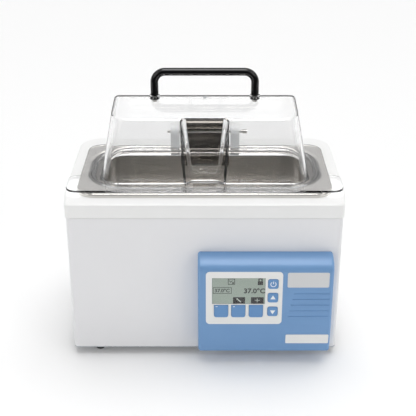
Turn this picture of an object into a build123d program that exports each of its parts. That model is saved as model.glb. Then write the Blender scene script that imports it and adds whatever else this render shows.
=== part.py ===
"""Bench-top water bath: a heated steel tank in a white case, a clear gable lid and a control unit.

Millimetres, +Z up, +X to the right seen from the front, the front looks along -Y.
The origin is on the bench, below the middle of the overall outline.
"""
import math
import os

from build123d import *

os.makedirs("parts", exist_ok=True)

# Body, in plan and in height
body_width = 354.0
body_depth = 230.0
body_height = 207.5
foot_height = 10.0
front_half_width = 172.5
shoulder_depth = 40.0
front_corner_radius = 6.5
shoulder_radius = 60.0
rear_corner_radius = 32.0

# Control unit on the front
unit_projection = 24.0
unit_left = -8.5
unit_right = 161.0
unit_top_drop = 65.0
unit_face_drop = 81.0
unit_crease_drop = 157.0
unit_bottom_drop = 198.0
unit_wall = 2.5

# Top cover
skirt_height = 18.5
seam = 1.0
cover_wall = 2.5
cover_edge_radius = 2.5

# Case and base, folded sheet steel
case_inset = 1.3
sheet = 1.2
base_sheet = 1.5

# Tank, deep drawn
rim_width = 323.0
rim_depth = 169.5
rim_front_setback = 21.5
rim_height = 5.0
rim_corner_radius = 22.0
tank_length = 298.0
tank_width = 142.5
tank_corner_radius = 55.0
tank_depth = 150.0
tank_sheet = 1.0
tank_taper = 3.0
tank_bottom_radius = 22.0
tank_lip_radius = 6.0

# Lid, moulded clear
lid_wall = 3.0
flange_half_width = 160.5
flange_front = 24.0
flange_rear = 183.5
ear_half_width = 174.5
ear_rear = 74.0
gable_half_length = 134.5
gable_half_depth = 53.0
gable_lean = 10.5
eave_height = 88.0
eave_half_depth = 45.3
ridge_height = 105.5
gable_corner_radius = 22.0
gable_edge_radius = 6.0

# Lid hinge
pivot_depth = 184.0
pivot_height = 28.0
bracket_half_width = 33.5
rod_radius = 2.0

# Places worked out from the sizes above
rear_y = (body_depth + unit_projection) / 2
front_y = rear_y - body_depth
face_y = front_y - unit_projection
deck_top = foot_height + body_height
cover_bottom = deck_top - skirt_height
case_top = cover_bottom - seam
tank_y = front_y + rim_front_setback + rim_depth / 2
rim_top = deck_top + rim_height
tank_floor = rim_top - tank_depth
pivot_y = front_y + pivot_depth
pivot_z = deck_top + pivot_height


def plan_outline(inset):
    """Plan shape of the body: straight front, splayed shoulders, round rear corners."""
    half = body_width / 2
    shoulder_y = front_y + shoulder_depth
    with BuildSketch() as plan:
        with BuildLine():
            Polyline(
                (-front_half_width, front_y),
                (front_half_width, front_y),
                (half, shoulder_y),
                (half, rear_y),
                (-half, rear_y),
                (-half, shoulder_y),
                close=True,
            )
        make_face()
        fillet(plan.vertices().group_by(Axis.Y)[-1], rear_corner_radius)
        fillet(plan.vertices().group_by(Axis.Y)[1], shoulder_radius)
        fillet(plan.vertices().group_by(Axis.Y)[0], front_corner_radius)
        if inset > 0:
            offset(amount=-inset, mode=Mode.REPLACE)
    return plan.sketch


def face_plane(x, z, y=face_y):
    """Sketch plane that looks out of the front: its own x runs along +X and its y along +Z."""
    return Plane(origin=(x, y, z), x_dir=(1, 0, 0), z_dir=(0, -1, 0))


def rear_plane(x, z, y=rear_y):
    """Sketch plane that looks out of the rear: its own x runs along -X and its y along +Z."""
    return Plane(origin=(x, y, z), x_dir=(-1, 0, 0), z_dir=(0, 1, 0))


# Top cover: a moulded deck with a skirt, open for the tank, standing on the case by an inner rib
deck_hole_gap = 3.0
deck_hole_length = tank_length + 2 * (tank_sheet + deck_hole_gap)
deck_hole_width = tank_width + 2 * (tank_sheet + deck_hole_gap)
deck_hole_radius = tank_corner_radius + tank_sheet + deck_hole_gap
rib_inset = 5.0
rib_wall = 2.0
opening_lip_drop = 9.0
opening_lip_wall = 2.0

with BuildPart() as top_cover:
    with BuildSketch(Plane.XY.offset(cover_bottom)):
        add(plan_outline(0))
    extrude(amount=skirt_height)
    fillet(top_cover.faces().sort_by(Axis.Z)[-1].edges(), cover_edge_radius)
    with BuildSketch(Plane.XY.offset(cover_bottom)):
        add(plan_outline(cover_wall))
    extrude(amount=skirt_height - cover_wall, mode=Mode.SUBTRACT)
    with BuildSketch(Plane.XY.offset(case_top)):
        add(plan_outline(rib_inset))
        add(plan_outline(rib_inset + rib_wall), mode=Mode.SUBTRACT)
    extrude(amount=skirt_height + seam - cover_wall)
    with BuildSketch(Plane.XY.offset(deck_top - opening_lip_drop)):
        with Locations((0, tank_y)):
            RectangleRounded(
                deck_hole_length + 2 * opening_lip_wall,
                deck_hole_width + 2 * opening_lip_wall,
                deck_hole_radius + opening_lip_wall,
            )
    extrude(amount=opening_lip_drop - cover_wall)
    with BuildSketch(Plane.XY.offset(deck_top)):
        with Locations((0, tank_y)):
            RectangleRounded(deck_hole_length, deck_hole_width, deck_hole_radius)
    extrude(amount=-skirt_height, mode=Mode.SUBTRACT)
top_cover.part.label = "top_cover"
export_step(top_cover.part, "parts/top_cover.step")

# Screws that join the case to the tray edge: on both sides and across the rear
case_screw_radius = 1.5
case_screw_z = 18.0
case_side_x = body_width / 2 - case_inset
case_rear_y = rear_y - case_inset
case_screw_planes = []
for screw_y in (-30.0, 60.0):
    for side in (-1, 1):
        case_screw_planes.append(Plane(
            origin=(side * case_side_x, screw_y, case_screw_z), x_dir=(0, side, 0), z_dir=(side, 0, 0)
        ))
for screw_x in (-110.0, 0.0, 110.0):
    case_screw_planes.append(rear_plane(screw_x, case_screw_z, case_rear_y))

# Screws that hold the control unit, driven from inside the case
unit_screw_radius = 1.6
unit_screw_inset = 9.0
unit_screw_top_drop = unit_top_drop + 20.0
unit_screw_places = [
    (unit_left + unit_screw_inset, -unit_screw_top_drop),
    (unit_right - unit_screw_inset, -unit_screw_top_drop),
    (unit_left + unit_screw_inset, -unit_bottom_drop + unit_screw_inset),
    (unit_right - unit_screw_inset, -unit_bottom_drop + unit_screw_inset),
]

# Outer case: a wrap of painted sheet with an inward flange at the top, open below,
# a window behind the control unit and slots and an inlet hole at the rear
case_bottom = foot_height + base_sheet
case_flange = 13.0
unit_mid_x = (unit_left + unit_right) / 2
unit_mid_z = deck_top - (unit_top_drop + unit_bottom_drop) / 2
unit_window_width = 130.0
unit_window_height = 90.0
unit_window_radius = 4.0
vent_width = 3.0
vent_height = 26.0
vent_pitch = 8.0
vent_count = 14
vent_x = -85.0
vent_z = 52.0
inlet_x = 92.0
inlet_z = 52.0
inlet_hole_width = 30.0
inlet_hole_height = 24.0
inlet_screw_spacing = 40.0
inlet_screw_radius = 1.5

with BuildPart() as outer_case:
    with BuildSketch(Plane.XY.offset(case_bottom)):
        add(plan_outline(case_inset))
    extrude(amount=case_top - case_bottom)
    with BuildSketch(Plane.XY.offset(case_bottom)):
        add(plan_outline(case_inset + sheet))
    extrude(amount=case_top - case_bottom - sheet, mode=Mode.SUBTRACT)
    with BuildSketch(Plane.XY.offset(case_top)):
        add(plan_outline(case_inset + case_flange))
    extrude(amount=-sheet, mode=Mode.SUBTRACT)
    with BuildSketch(face_plane(unit_mid_x, unit_mid_z, front_y)):
        RectangleRounded(unit_window_width, unit_window_height, unit_window_radius)
    extrude(amount=-2 * (case_inset + sheet), mode=Mode.SUBTRACT)
    with BuildSketch(rear_plane(vent_x, vent_z)):
        with GridLocations(vent_pitch, 0, vent_count, 1):
            SlotOverall(vent_height, vent_width, rotation=90)
    extrude(amount=-2 * (case_inset + sheet), mode=Mode.SUBTRACT)
    with BuildSketch(rear_plane(inlet_x, inlet_z)):
        Rectangle(inlet_hole_width, inlet_hole_height)
        with Locations((-inlet_screw_spacing / 2, 0), (inlet_screw_spacing / 2, 0)):
            Circle(inlet_screw_radius)
    extrude(amount=-2 * (case_inset + sheet), mode=Mode.SUBTRACT)
    with BuildSketch(face_plane(0, deck_top, front_y)):
        with Locations(*unit_screw_places):
            Circle(unit_screw_radius)
    extrude(amount=-2 * (case_inset + sheet), mode=Mode.SUBTRACT)
    for screw_plane in case_screw_planes:
        with BuildSketch(screw_plane):
            Circle(case_screw_radius)
        extrude(amount=-2 * sheet, mode=Mode.SUBTRACT)
outer_case.part.label = "outer_case"
export_step(outer_case.part, "parts/outer_case.step")

# Base plate: a tray the case stands on, with a turned-up edge inside the case and air slots
tray_edge_height = 12.0
foot_x = 139.5
foot_inset_front = 18.0
foot_inset_rear = 24.0
foot_places = {
    "front_left": (-foot_x, front_y + foot_inset_front),
    "front_right": (foot_x, front_y + foot_inset_front),
    "rear_left": (-foot_x, rear_y - foot_inset_rear),
    "rear_right": (foot_x, rear_y - foot_inset_rear),
}
foot_screw_radius = 2.0
air_slot_length = 36.0
air_slot_width = 4.0
air_slot_pitch = 12.0
air_slot_rows = 6
air_slot_x = 85.0

with BuildPart() as base_plate:
    with BuildSketch(Plane.XY.offset(foot_height)):
        add(plan_outline(case_inset))
    extrude(amount=base_sheet)
    with BuildSketch(Plane.XY.offset(case_bottom)):
        add(plan_outline(case_inset + sheet))
        add(plan_outline(case_inset + sheet + base_sheet), mode=Mode.SUBTRACT)
    extrude(amount=tray_edge_height)
    with BuildSketch(Plane.XY.offset(case_bottom)):
        with GridLocations(2 * air_slot_x, air_slot_pitch, 2, air_slot_rows):
            SlotOverall(air_slot_length, air_slot_width)
    extrude(amount=-base_sheet, mode=Mode.SUBTRACT)
    with BuildSketch(Plane.XY.offset(case_bottom)):
        with Locations(*foot_places.values()):
            Circle(foot_screw_radius)
    extrude(amount=-base_sheet, mode=Mode.SUBTRACT)
    for screw_plane in case_screw_planes:
        with BuildSketch(screw_plane.offset(-sheet)):
            Circle(case_screw_radius)
        extrude(amount=-2 * base_sheet, mode=Mode.SUBTRACT)
base_plate.part.label = "base_plate"
export_step(base_plate.part, "parts/base_plate.step")

# Feet: tapered rubber buffers, each held by a screw from below through a recess
foot_radius = 7.0
foot_tip_radius = 5.8
foot_recess_radius = 4.0
foot_recess_depth = 6.0

for corner, (foot_px, foot_py) in foot_places.items():
    with BuildPart() as foot:
        with BuildSketch(Plane(origin=(foot_px, foot_py, 0), x_dir=(1, 0, 0), z_dir=(0, -1, 0))):
            with BuildLine():
                Polyline(
                    (foot_recess_radius, 0),
                    (foot_tip_radius, 0),
                    (foot_radius, foot_height),
                    (foot_screw_radius, foot_height),
                    (foot_screw_radius, foot_recess_depth),
                    (foot_recess_radius, foot_recess_depth),
                    close=True,
                )
            make_face()
        revolve(axis=Axis((foot_px, foot_py, 0), (0, 0, 1)))
    foot.part.label = f"foot_{corner}"
    export_step(foot.part, f"parts/foot_{corner}.step")

# Foot screws: pan heads in the recesses, shanks up through the base plate
foot_screw_length = 14.0
foot_screw_head_radius = 3.6
foot_screw_head_height = 2.4

with BuildPart() as foot_screws:
    with BuildSketch(Plane.XY.offset(foot_recess_depth - foot_screw_head_height)):
        with Locations(*foot_places.values()):
            Circle(foot_screw_head_radius)
    extrude(amount=foot_screw_head_height)
    with BuildSketch(Plane.XY.offset(foot_recess_depth)):
        with Locations(*foot_places.values()):
            Circle(foot_screw_radius)
    extrude(amount=foot_screw_length - foot_recess_depth)
foot_screws.part.label = "foot_screws"
export_step(foot_screws.part, "parts/foot_screws.step")


def tank_block(inset, top, floor):
    """Tapered well block of the tank, drawn in by inset, with a rounded foot."""
    with BuildPart() as block:
        with BuildSketch(Plane.XY.offset(top)):
            with Locations((0, tank_y)):
                RectangleRounded(
                    tank_length - 2 * inset,
                    tank_width - 2 * inset,
                    tank_corner_radius - inset,
                )
        extrude(amount=floor - top, taper=tank_taper)
        fillet(block.faces().sort_by(Axis.Z)[0].edges(), tank_bottom_radius - inset)
    return block.part


# Tank: well, drawn lip and a flat rim whose edge turns down onto the deck
rim_edge_width = 3.0
rim_edge_radius = 2.0

with BuildPart() as tank:
    with BuildSketch(Plane.XY.offset(deck_top)):
        with Locations((0, tank_y)):
            RectangleRounded(rim_width, rim_depth, rim_corner_radius)
    extrude(amount=rim_height)
    fillet(tank.faces().sort_by(Axis.Z)[-1].edges(), rim_edge_radius)
    with BuildSketch(Plane.XY.offset(deck_top)):
        with Locations((0, tank_y)):
            RectangleRounded(
                rim_width - 2 * rim_edge_width,
                rim_depth - 2 * rim_edge_width,
                rim_corner_radius - rim_edge_width,
            )
    extrude(amount=rim_height - tank_sheet, mode=Mode.SUBTRACT)
    add(tank_block(-tank_sheet, rim_top - tank_sheet, tank_floor - tank_sheet))
    underside_edges = tank.edges().filter_by_position(
        Axis.Z, rim_top - tank_sheet - 0.01, rim_top - tank_sheet + 0.01
    )
    lip_edges = [e for e in underside_edges if abs(e.center().X) < tank_length / 2 + 2
                 and abs(e.center().Y - tank_y) < tank_width / 2 + 2]
    fillet(lip_edges, tank_lip_radius - tank_sheet)
    add(tank_block(0, rim_top, tank_floor), mode=Mode.SUBTRACT)
    mouth_edges = [e for e in tank.edges().filter_by_position(Axis.Z, rim_top - 0.01, rim_top + 0.01)
                   if abs(e.center().X) < tank_length / 2 + 2
                   and abs(e.center().Y - tank_y) < tank_width / 2 + 2]
    fillet(mouth_edges, tank_lip_radius)
tank.part.label = "tank"
export_step(tank.part, "parts/tank.step")

# Rim gasket: a foam strip between the deck and the underside of the rim
gasket_width = 4.0
gasket_length = rim_width - 2 * rim_edge_width
gasket_depth = rim_depth - 2 * rim_edge_width
gasket_radius = rim_corner_radius - rim_edge_width

with BuildPart() as rim_gasket:
    with BuildSketch(Plane.XY.offset(deck_top)):
        with Locations((0, tank_y)):
            RectangleRounded(gasket_length, gasket_depth, gasket_radius)
            RectangleRounded(
                gasket_length - gasket_width,
                gasket_depth - gasket_width,
                gasket_radius - gasket_width / 2,
                mode=Mode.SUBTRACT,
            )
    extrude(amount=rim_height - tank_sheet)
rim_gasket.part.label = "rim_gasket"
export_step(rim_gasket.part, "parts/rim_gasket.step")

# Heater: flat mat pressed to the tank floor by a clamp plate
heater_length = 214.0
heater_width = 60.0
heater_thickness = 2.5
heater_corner_radius = 6.0
clamp_thickness = 3.0
clamp_slot_length = 34.0
clamp_slot_width = 6.0
clamp_slot_pitch = 60.0
heater_top = tank_floor - tank_sheet
clamp_bottom = heater_top - heater_thickness - clamp_thickness

with BuildPart() as heater_mat:
    with BuildSketch(Plane.XY.offset(heater_top - heater_thickness)):
        with Locations((0, tank_y)):
            RectangleRounded(heater_length, heater_width, heater_corner_radius)
    extrude(amount=heater_thickness)
heater_mat.part.label = "heater_mat"
export_step(heater_mat.part, "parts/heater_mat.step")

clamp_margin = 4.0
with BuildPart() as heater_clamp:
    with BuildSketch(Plane.XY.offset(clamp_bottom)):
        with Locations((0, tank_y)):
            RectangleRounded(
                heater_length + clamp_margin,
                heater_width + clamp_margin,
                heater_corner_radius + clamp_margin / 2,
            )
    extrude(amount=clamp_thickness)
    with BuildSketch(Plane.XY.offset(clamp_bottom)):
        with Locations((0, tank_y)):
            with GridLocations(clamp_slot_pitch, 0, 3, 1):
                SlotOverall(clamp_slot_length, clamp_slot_width)
    extrude(amount=clamp_thickness, mode=Mode.SUBTRACT)
heater_clamp.part.label = "heater_clamp"
export_step(heater_clamp.part, "parts/heater_clamp.step")

# Heater legs: four pillars that carry the clamp plate on the base
leg_radius = 4.0
leg_spacing_x = 196.0
leg_spacing_y = 48.0

with BuildPart() as clamp_pillars:
    with BuildSketch(Plane.XY.offset(case_bottom)):
        with Locations((0, tank_y)):
            with GridLocations(leg_spacing_x, leg_spacing_y, 2, 2):
                RegularPolygon(leg_radius, 6)
    extrude(amount=clamp_bottom - case_bottom)
clamp_pillars.part.label = "clamp_pillars"
export_step(clamp_pillars.part, "parts/clamp_pillars.step")

# Over-temperature cut-out: a disc thermostat with two blades under the clamp plate
cutout_radius = 8.0
cutout_height = 9.0
cutout_x = 30.0
blade_width = 6.3
blade_thickness = 0.8
blade_length = 9.0
blade_pitch = 8.0

with BuildPart() as cutout_thermostat:
    with BuildSketch(Plane.XY.offset(clamp_bottom)):
        with Locations((cutout_x, tank_y)):
            Circle(cutout_radius)
    extrude(amount=-cutout_height)
    with BuildSketch(Plane.XY.offset(clamp_bottom - cutout_height)):
        with Locations((cutout_x, tank_y)):
            with GridLocations(blade_pitch, 0, 2, 1):
                Rectangle(blade_thickness, blade_width)
    extrude(amount=-blade_length)
cutout_thermostat.part.label = "cutout_thermostat"
export_step(cutout_thermostat.part, "parts/cutout_thermostat.step")

# Temperature probe: a metal-sheathed sensor lying against the clamp plate
probe_radius = 3.0
probe_length = 44.0
probe_x = -52.0
probe_tip_radius = 2.0

with BuildPart() as temperature_probe:
    with BuildSketch(Plane.YZ.offset(probe_x)):
        with Locations((tank_y, clamp_bottom - probe_radius)):
            Circle(probe_radius)
    extrude(amount=probe_length)
    fillet(temperature_probe.edges().filter_by(GeomType.CIRCLE).sort_by(Axis.X)[0], probe_tip_radius)
temperature_probe.part.label = "temperature_probe"
export_step(temperature_probe.part, "parts/temperature_probe.step")

# Insulation: a fitted jacket round the well
jacket_top_drop = 24.0
jacket_floor_lift = 26.0
jacket_top = deck_top - jacket_top_drop
jacket_floor = tank_floor + jacket_floor_lift
jacket_wall = 10.0

with BuildPart() as insulation_jacket:
    add(tank_block(-tank_sheet - jacket_wall, rim_top - tank_sheet, tank_floor - tank_sheet))
    add(tank_block(-tank_sheet, rim_top - tank_sheet, tank_floor - tank_sheet), mode=Mode.SUBTRACT)
    split(bisect_by=Plane.XY.offset(jacket_top), keep=Keep.BOTTOM)
    split(bisect_by=Plane.XY.offset(jacket_floor), keep=Keep.TOP)
insulation_jacket.part.label = "insulation_jacket"
export_step(insulation_jacket.part, "parts/insulation_jacket.step")


# Control unit: its back seats on the case, its lower face leans back below a crease
unit_back_y = front_y + case_inset
lower_face_lean = 3.0
unit_edge_radius = 3.5
nose_turn = 40.0


def unit_profile(inset):
    """Side profile of the control unit: bullnose top, upright face, lower face leaning back.

    Drawn in by inset it is the hollow, which runs out through the back."""
    top = deck_top - unit_top_drop
    bottom = deck_top - unit_bottom_drop
    lower_y = face_y + lower_face_lean
    back_y = unit_back_y + 2 * inset
    nose_drop = unit_face_drop - unit_top_drop
    turn = math.radians(nose_turn)
    sine, cosine = math.sin(turn), math.cos(turn)
    share = (1 - cosine) / sine
    front_radius = (nose_drop - unit_projection * share) / (cosine - (1 - sine) * share)
    top_radius = (unit_projection - front_radius * (1 - sine)) / sine
    with BuildSketch() as profile:
        with BuildLine():
            Line((back_y, top), (front_y, top))
            brow = JernArc((front_y, top), (-1, 0), top_radius, nose_turn)
            JernArc(brow @ 1, brow % 1, front_radius, 90 - nose_turn)
            Polyline(
                (face_y, deck_top - unit_face_drop),
                (face_y, deck_top - unit_crease_drop),
                (lower_y, bottom),
                (back_y, bottom),
                (back_y, top),
            )
        make_face()
        if inset > 0:
            offset(amount=-inset, mode=Mode.REPLACE)
    return profile.sketch


# Front panel features, as drops from the deck
bezel_x = 49.5
bezel_drop = 117.9
bezel_width = 96.0
bezel_height = 75.4
bezel_radius = 5.0
bezel_thickness = 1.6
bezel_proud = 0.4
window_x = 42.6
window_drop = 107.5
window_width = 66.8
window_height = 37.2
window_ledge = 1.0
soft_key_size = 17.6
soft_key_drop = 136.4
soft_key_places = {"soft_key_left": 20.7, "soft_key_middle": 42.4, "soft_key_right": 64.6}
small_key_width = 12.8
small_key_height = 13.4
small_key_x = 85.6
small_key_places = {"power_key": 97.2, "up_key": 116.8, "down_key": 136.8}
key_gap = 0.35
key_proud = 0.9
badge_x = 129.3
badge_drop = 91.9
badge_width = 52.0
badge_height = 21.0
badge_radius = 2.0
badge_edge_radius = 0.4
plate_x = 131.0
plate_drop = 179.1
plate_width = 55.0
plate_height = 13.6
plate_radius = 1.5
plate_sink = 1.0
grip_rib_drops = (112.4, 120.4, 128.7, 137.2, 145.2)
grip_rib_lefts = (111.9, 110.3, 108.8, 107.2, 105.6)
grip_rib_right = 157.0
grip_rib_height = 1.6
grip_rib_proud = 0.7
key_corner_radius = 2.6
boss_radius = 4.0
post_radius = 2.5
board_gap = 9.0
board_left = 8.0
board_right = 146.0
board_top_drop = 80.0
board_bottom_drop = 160.0
post_inset_x = 5.0
post_inset_z = 4.0
board_post_places = [
    (board_left + post_inset_x, -board_top_drop - post_inset_z),
    (board_right - post_inset_x, -board_top_drop - post_inset_z),
    (board_left + post_inset_x, -board_bottom_drop + post_inset_z),
    (board_right - post_inset_x, -board_bottom_drop + post_inset_z),
]


def soft_key_shape(grow):
    """Outline of a soft key: square shoulders, round lower corners."""
    with BuildSketch() as shape:
        size = soft_key_size + 2 * grow
        Rectangle(size, size)
        fillet(shape.vertices().group_by(Axis.Y)[0], key_corner_radius + grow)
    return shape.sketch


def small_key_shape(grow):
    """Outline of a small key: a rectangle with round corners."""
    with BuildSketch() as shape:
        RectangleRounded(
            small_key_width + 2 * grow, small_key_height + 2 * grow, key_corner_radius + grow
        )
    return shape.sketch


def key_field(grow):
    """All six key outlines at their places, measured from deck height at X = 0."""
    with BuildSketch() as field:
        for key_x in soft_key_places.values():
            with Locations((key_x, -soft_key_drop)):
                add(soft_key_shape(grow))
        for key_drop in small_key_places.values():
            with Locations((small_key_x, -key_drop)):
                add(small_key_shape(grow))
    return field.sketch


def lower_face_plane(x, drop, proud=0.0):
    """Sketch plane on the lower, leaning face of the control unit."""
    lean = math.atan2(lower_face_lean, unit_bottom_drop - unit_crease_drop)
    y = face_y + (drop - unit_crease_drop) * math.tan(lean)
    return Plane(
        origin=(x, y, deck_top - drop), x_dir=(1, 0, 0), z_dir=(0, -math.cos(lean), -math.sin(lean))
    ).offset(proud)


# Control unit housing: a moulded shell, open to the case, with pockets for the bezel and plates,
# posts for the board and bosses for the screws
name_plate_sink = 0.5
with BuildPart() as control_housing:
    with BuildSketch(Plane.YZ.offset(unit_left)):
        add(unit_profile(0))
    extrude(amount=unit_right - unit_left)
    side_faces = control_housing.faces().sort_by(Axis.X)
    outer_edges = [e for e in side_faces[0].edges() + side_faces[-1].edges()
                   if e.center().Y < front_y - 1]
    fillet(outer_edges, unit_edge_radius)
    with BuildSketch(Plane.YZ.offset(unit_left + unit_wall)):
        add(unit_profile(unit_wall))
    extrude(amount=unit_right - unit_left - 2 * unit_wall, mode=Mode.SUBTRACT)
    upper_boss_length = unit_back_y - face_y - unit_wall / 2
    lower_boss_length = upper_boss_length - lower_face_lean + unit_wall / 4
    for boss_places, boss_length in (
        (unit_screw_places[:2], upper_boss_length),
        (unit_screw_places[2:], lower_boss_length),
    ):
        with BuildSketch(face_plane(0, deck_top, unit_back_y)):
            with Locations(*boss_places):
                Circle(boss_radius)
        extrude(amount=boss_length)
    with BuildSketch(face_plane(0, deck_top, unit_back_y)):
        with Locations(*unit_screw_places):
            Circle(unit_screw_radius)
    extrude(amount=unit_projection / 2, mode=Mode.SUBTRACT)
    with BuildSketch(face_plane(0, deck_top, face_y + board_gap)):
        with Locations(*board_post_places):
            Circle(post_radius)
    extrude(amount=board_gap - unit_wall / 2)
    with BuildSketch(face_plane(bezel_x, deck_top - bezel_drop)):
        RectangleRounded(bezel_width, bezel_height, bezel_radius)
    extrude(amount=-(bezel_thickness - bezel_proud), mode=Mode.SUBTRACT)
    with BuildSketch(face_plane(0, deck_top)):
        with Locations((window_x, -window_drop)):
            Rectangle(window_width - 2 * window_ledge, window_height - 2 * window_ledge)
        add(key_field(key_gap))
    extrude(amount=-2 * unit_wall, mode=Mode.SUBTRACT)
    with BuildSketch(face_plane(badge_x, deck_top - badge_drop)):
        RectangleRounded(badge_width, badge_height, badge_radius)
    extrude(amount=-plate_sink, mode=Mode.SUBTRACT)
    with BuildSketch(lower_face_plane(plate_x, plate_drop)):
        RectangleRounded(plate_width, plate_height, plate_radius)
    extrude(amount=-name_plate_sink, mode=Mode.SUBTRACT)
    with BuildSketch(face_plane(0, deck_top, face_y + unit_wall / 2)):
        for rib_drop, rib_left in zip(grip_rib_drops, grip_rib_lefts):
            with Locations(((rib_left + grip_rib_right) / 2, -rib_drop)):
                SlotOverall(grip_rib_right - rib_left, grip_rib_height)
    extrude(amount=unit_wall / 2 + grip_rib_proud)
control_housing.part.label = "control_housing"
export_step(control_housing.part, "parts/control_housing.step")

# Control unit screws: pan heads on the inner face of the case wall
unit_screw_head_radius = 3.2
unit_screw_head_height = 2.2
unit_screw_reach = 10.0
case_inner_y = front_y + case_inset + sheet

with BuildPart() as unit_screws:
    with BuildSketch(face_plane(0, deck_top, case_inner_y)):
        with Locations(*unit_screw_places):
            Circle(unit_screw_head_radius)
    extrude(amount=-unit_screw_head_height)
    with BuildSketch(face_plane(0, deck_top, case_inner_y)):
        with Locations(*unit_screw_places):
            Circle(unit_screw_radius)
    extrude(amount=unit_screw_reach)
unit_screws.part.label = "unit_screws"
export_step(unit_screws.part, "parts/unit_screws.step")

# Keypad bezel: a light plate with the display window and six key openings
with BuildPart() as keypad_bezel:
    with BuildSketch(face_plane(bezel_x, deck_top - bezel_drop, face_y - bezel_proud)):
        RectangleRounded(bezel_width, bezel_height, bezel_radius)
    extrude(amount=-bezel_thickness)
    with BuildSketch(face_plane(0, deck_top, face_y - bezel_proud)):
        with Locations((window_x, -window_drop)):
            Rectangle(window_width, window_height)
        add(key_field(key_gap))
    extrude(amount=-bezel_thickness, mode=Mode.SUBTRACT)
keypad_bezel.part.label = "keypad_bezel"
export_step(keypad_bezel.part, "parts/keypad_bezel.step")

# Display window: clear plate lying on the ledge behind the bezel
window_sink = 0.3
pocket_floor_y = face_y + bezel_thickness - bezel_proud

with BuildPart() as display_window:
    with BuildSketch(face_plane(window_x, deck_top - window_drop, pocket_floor_y)):
        Rectangle(window_width, window_height)
    extrude(amount=bezel_thickness - window_sink)
display_window.part.label = "display_window"
export_step(display_window.part, "parts/display_window.step")

# Display module: between the housing wall and the board
module_width = 70.0
module_height = 37.8
module_drop = 107.3

with BuildPart() as display_module:
    with BuildSketch(face_plane(window_x, deck_top - module_drop, face_y + board_gap)):
        Rectangle(module_width, module_height)
    extrude(amount=board_gap - unit_wall)
    with BuildSketch(face_plane(window_x, deck_top - window_drop, face_y + unit_wall)):
        Rectangle(window_width - 4 * window_ledge, window_height - 4 * window_ledge)
    extrude(amount=unit_wall - (pocket_floor_y - face_y))
display_module.part.label = "display_module"
export_step(display_module.part, "parts/display_module.step")

# Control board on the four housing posts
board_thickness = 1.6

with BuildPart() as control_board:
    with BuildSketch(face_plane(
        (board_left + board_right) / 2,
        deck_top - (board_top_drop + board_bottom_drop) / 2,
        face_y + board_gap,
    )):
        Rectangle(board_right - board_left, board_bottom_drop - board_top_drop)
    extrude(amount=-board_thickness)
control_board.part.label = "control_board"
export_step(control_board.part, "parts/control_board.step")

# Push switches on the board, one behind each key
switch_size = 6.0
switch_height = 2.4
plunger_radius = 1.7
plunger_height = 0.7
switch_places = [(x, -soft_key_drop) for x in soft_key_places.values()]
switch_places += [(small_key_x, -drop) for drop in small_key_places.values()]

with BuildPart() as push_switches:
    with BuildSketch(face_plane(0, deck_top, face_y + board_gap)):
        with Locations(*switch_places):
            Rectangle(switch_size, switch_size)
    extrude(amount=switch_height)
    with BuildSketch(face_plane(0, deck_top, face_y + board_gap - switch_height)):
        with Locations(*switch_places):
            Circle(plunger_radius)
    extrude(amount=plunger_height)
push_switches.part.label = "push_switches"
export_step(push_switches.part, "parts/push_switches.step")

# Keys: a cap through the bezel, a retaining flange behind the housing wall and a stem
key_travel = 0.8
flange_lip = 0.7
flange_thickness = 1.0
flange_play = 0.1
stem_radius = 2.0
stem_end = board_gap - switch_height - plunger_height - key_travel - 0.1
key_front_y = face_y - bezel_proud - key_proud
key_back_y = face_y + unit_wall + flange_play
key_edge_radius = 0.5


def press_key(x, drop, shape):
    """One key at its place; shape gives its outline, grown by a margin."""
    with BuildPart() as key:
        with BuildSketch(face_plane(x, deck_top - drop, key_back_y)):
            add(shape(0))
        extrude(amount=key_back_y - key_front_y)
        fillet(key.faces().sort_by(Axis.Y)[0].edges(), key_edge_radius)
        with BuildSketch(face_plane(x, deck_top - drop, key_back_y)):
            add(shape(flange_lip))
        extrude(amount=-flange_thickness)
        with BuildSketch(face_plane(x, deck_top - drop, face_y + stem_end)):
            Circle(stem_radius)
        extrude(amount=stem_end - unit_wall)
    return key.part


for key_name, key_x in soft_key_places.items():
    soft_key = press_key(key_x, soft_key_drop, soft_key_shape)
    soft_key.label = key_name
    export_step(soft_key, f"parts/{key_name}.step")

for key_name, key_drop in small_key_places.items():
    small_key = press_key(small_key_x, key_drop, small_key_shape)
    small_key.label = key_name
    export_step(small_key, f"parts/{key_name}.step")

# Badge plate and name plate, both plain
plate_proud = 0.5
with BuildPart() as badge_plate:
    with BuildSketch(face_plane(badge_x, deck_top - badge_drop, face_y + plate_sink)):
        RectangleRounded(badge_width, badge_height, badge_radius)
    extrude(amount=plate_sink + plate_proud)
    fillet(badge_plate.faces().sort_by(Axis.Y)[0].edges(), badge_edge_radius)
badge_plate.part.label = "badge_plate"
export_step(badge_plate.part, "parts/badge_plate.step")

with BuildPart() as name_plate:
    with BuildSketch(lower_face_plane(plate_x, plate_drop, -name_plate_sink)):
        RectangleRounded(plate_width, plate_height, plate_radius)
    extrude(amount=name_plate_sink + plate_proud)
name_plate.part.label = "name_plate"
export_step(name_plate.part, "parts/name_plate.step")

# Case screws: low round heads
case_screw_head_radius = 3.0
case_screw_head_height = 1.2
case_screw_reach = 6.0

with BuildPart() as case_screws:
    for screw_plane in case_screw_planes:
        with BuildSketch(screw_plane):
            Circle(case_screw_head_radius)
        extrude(amount=case_screw_head_height)
        with BuildSketch(screw_plane):
            Circle(case_screw_radius)
        extrude(amount=-case_screw_reach)
case_screws.part.label = "case_screws"
export_step(case_screws.part, "parts/case_screws.step")

# Mains inlet: a flanged appliance inlet with a chamfered socket and three flat pins
inlet_flange_width = 50.0
inlet_flange_height = 28.0
inlet_flange_thickness = 1.2
inlet_flange_radius = 5.0
inlet_body_depth = 20.0
socket_width = 24.4
socket_height = 16.6
socket_depth = 16.0
socket_chamfer = 4.0
pin_length = 10.0
pin_width = 2.0
pin_height = 4.0
pin_spacing = 7.0
pin_rise = 2.0

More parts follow.
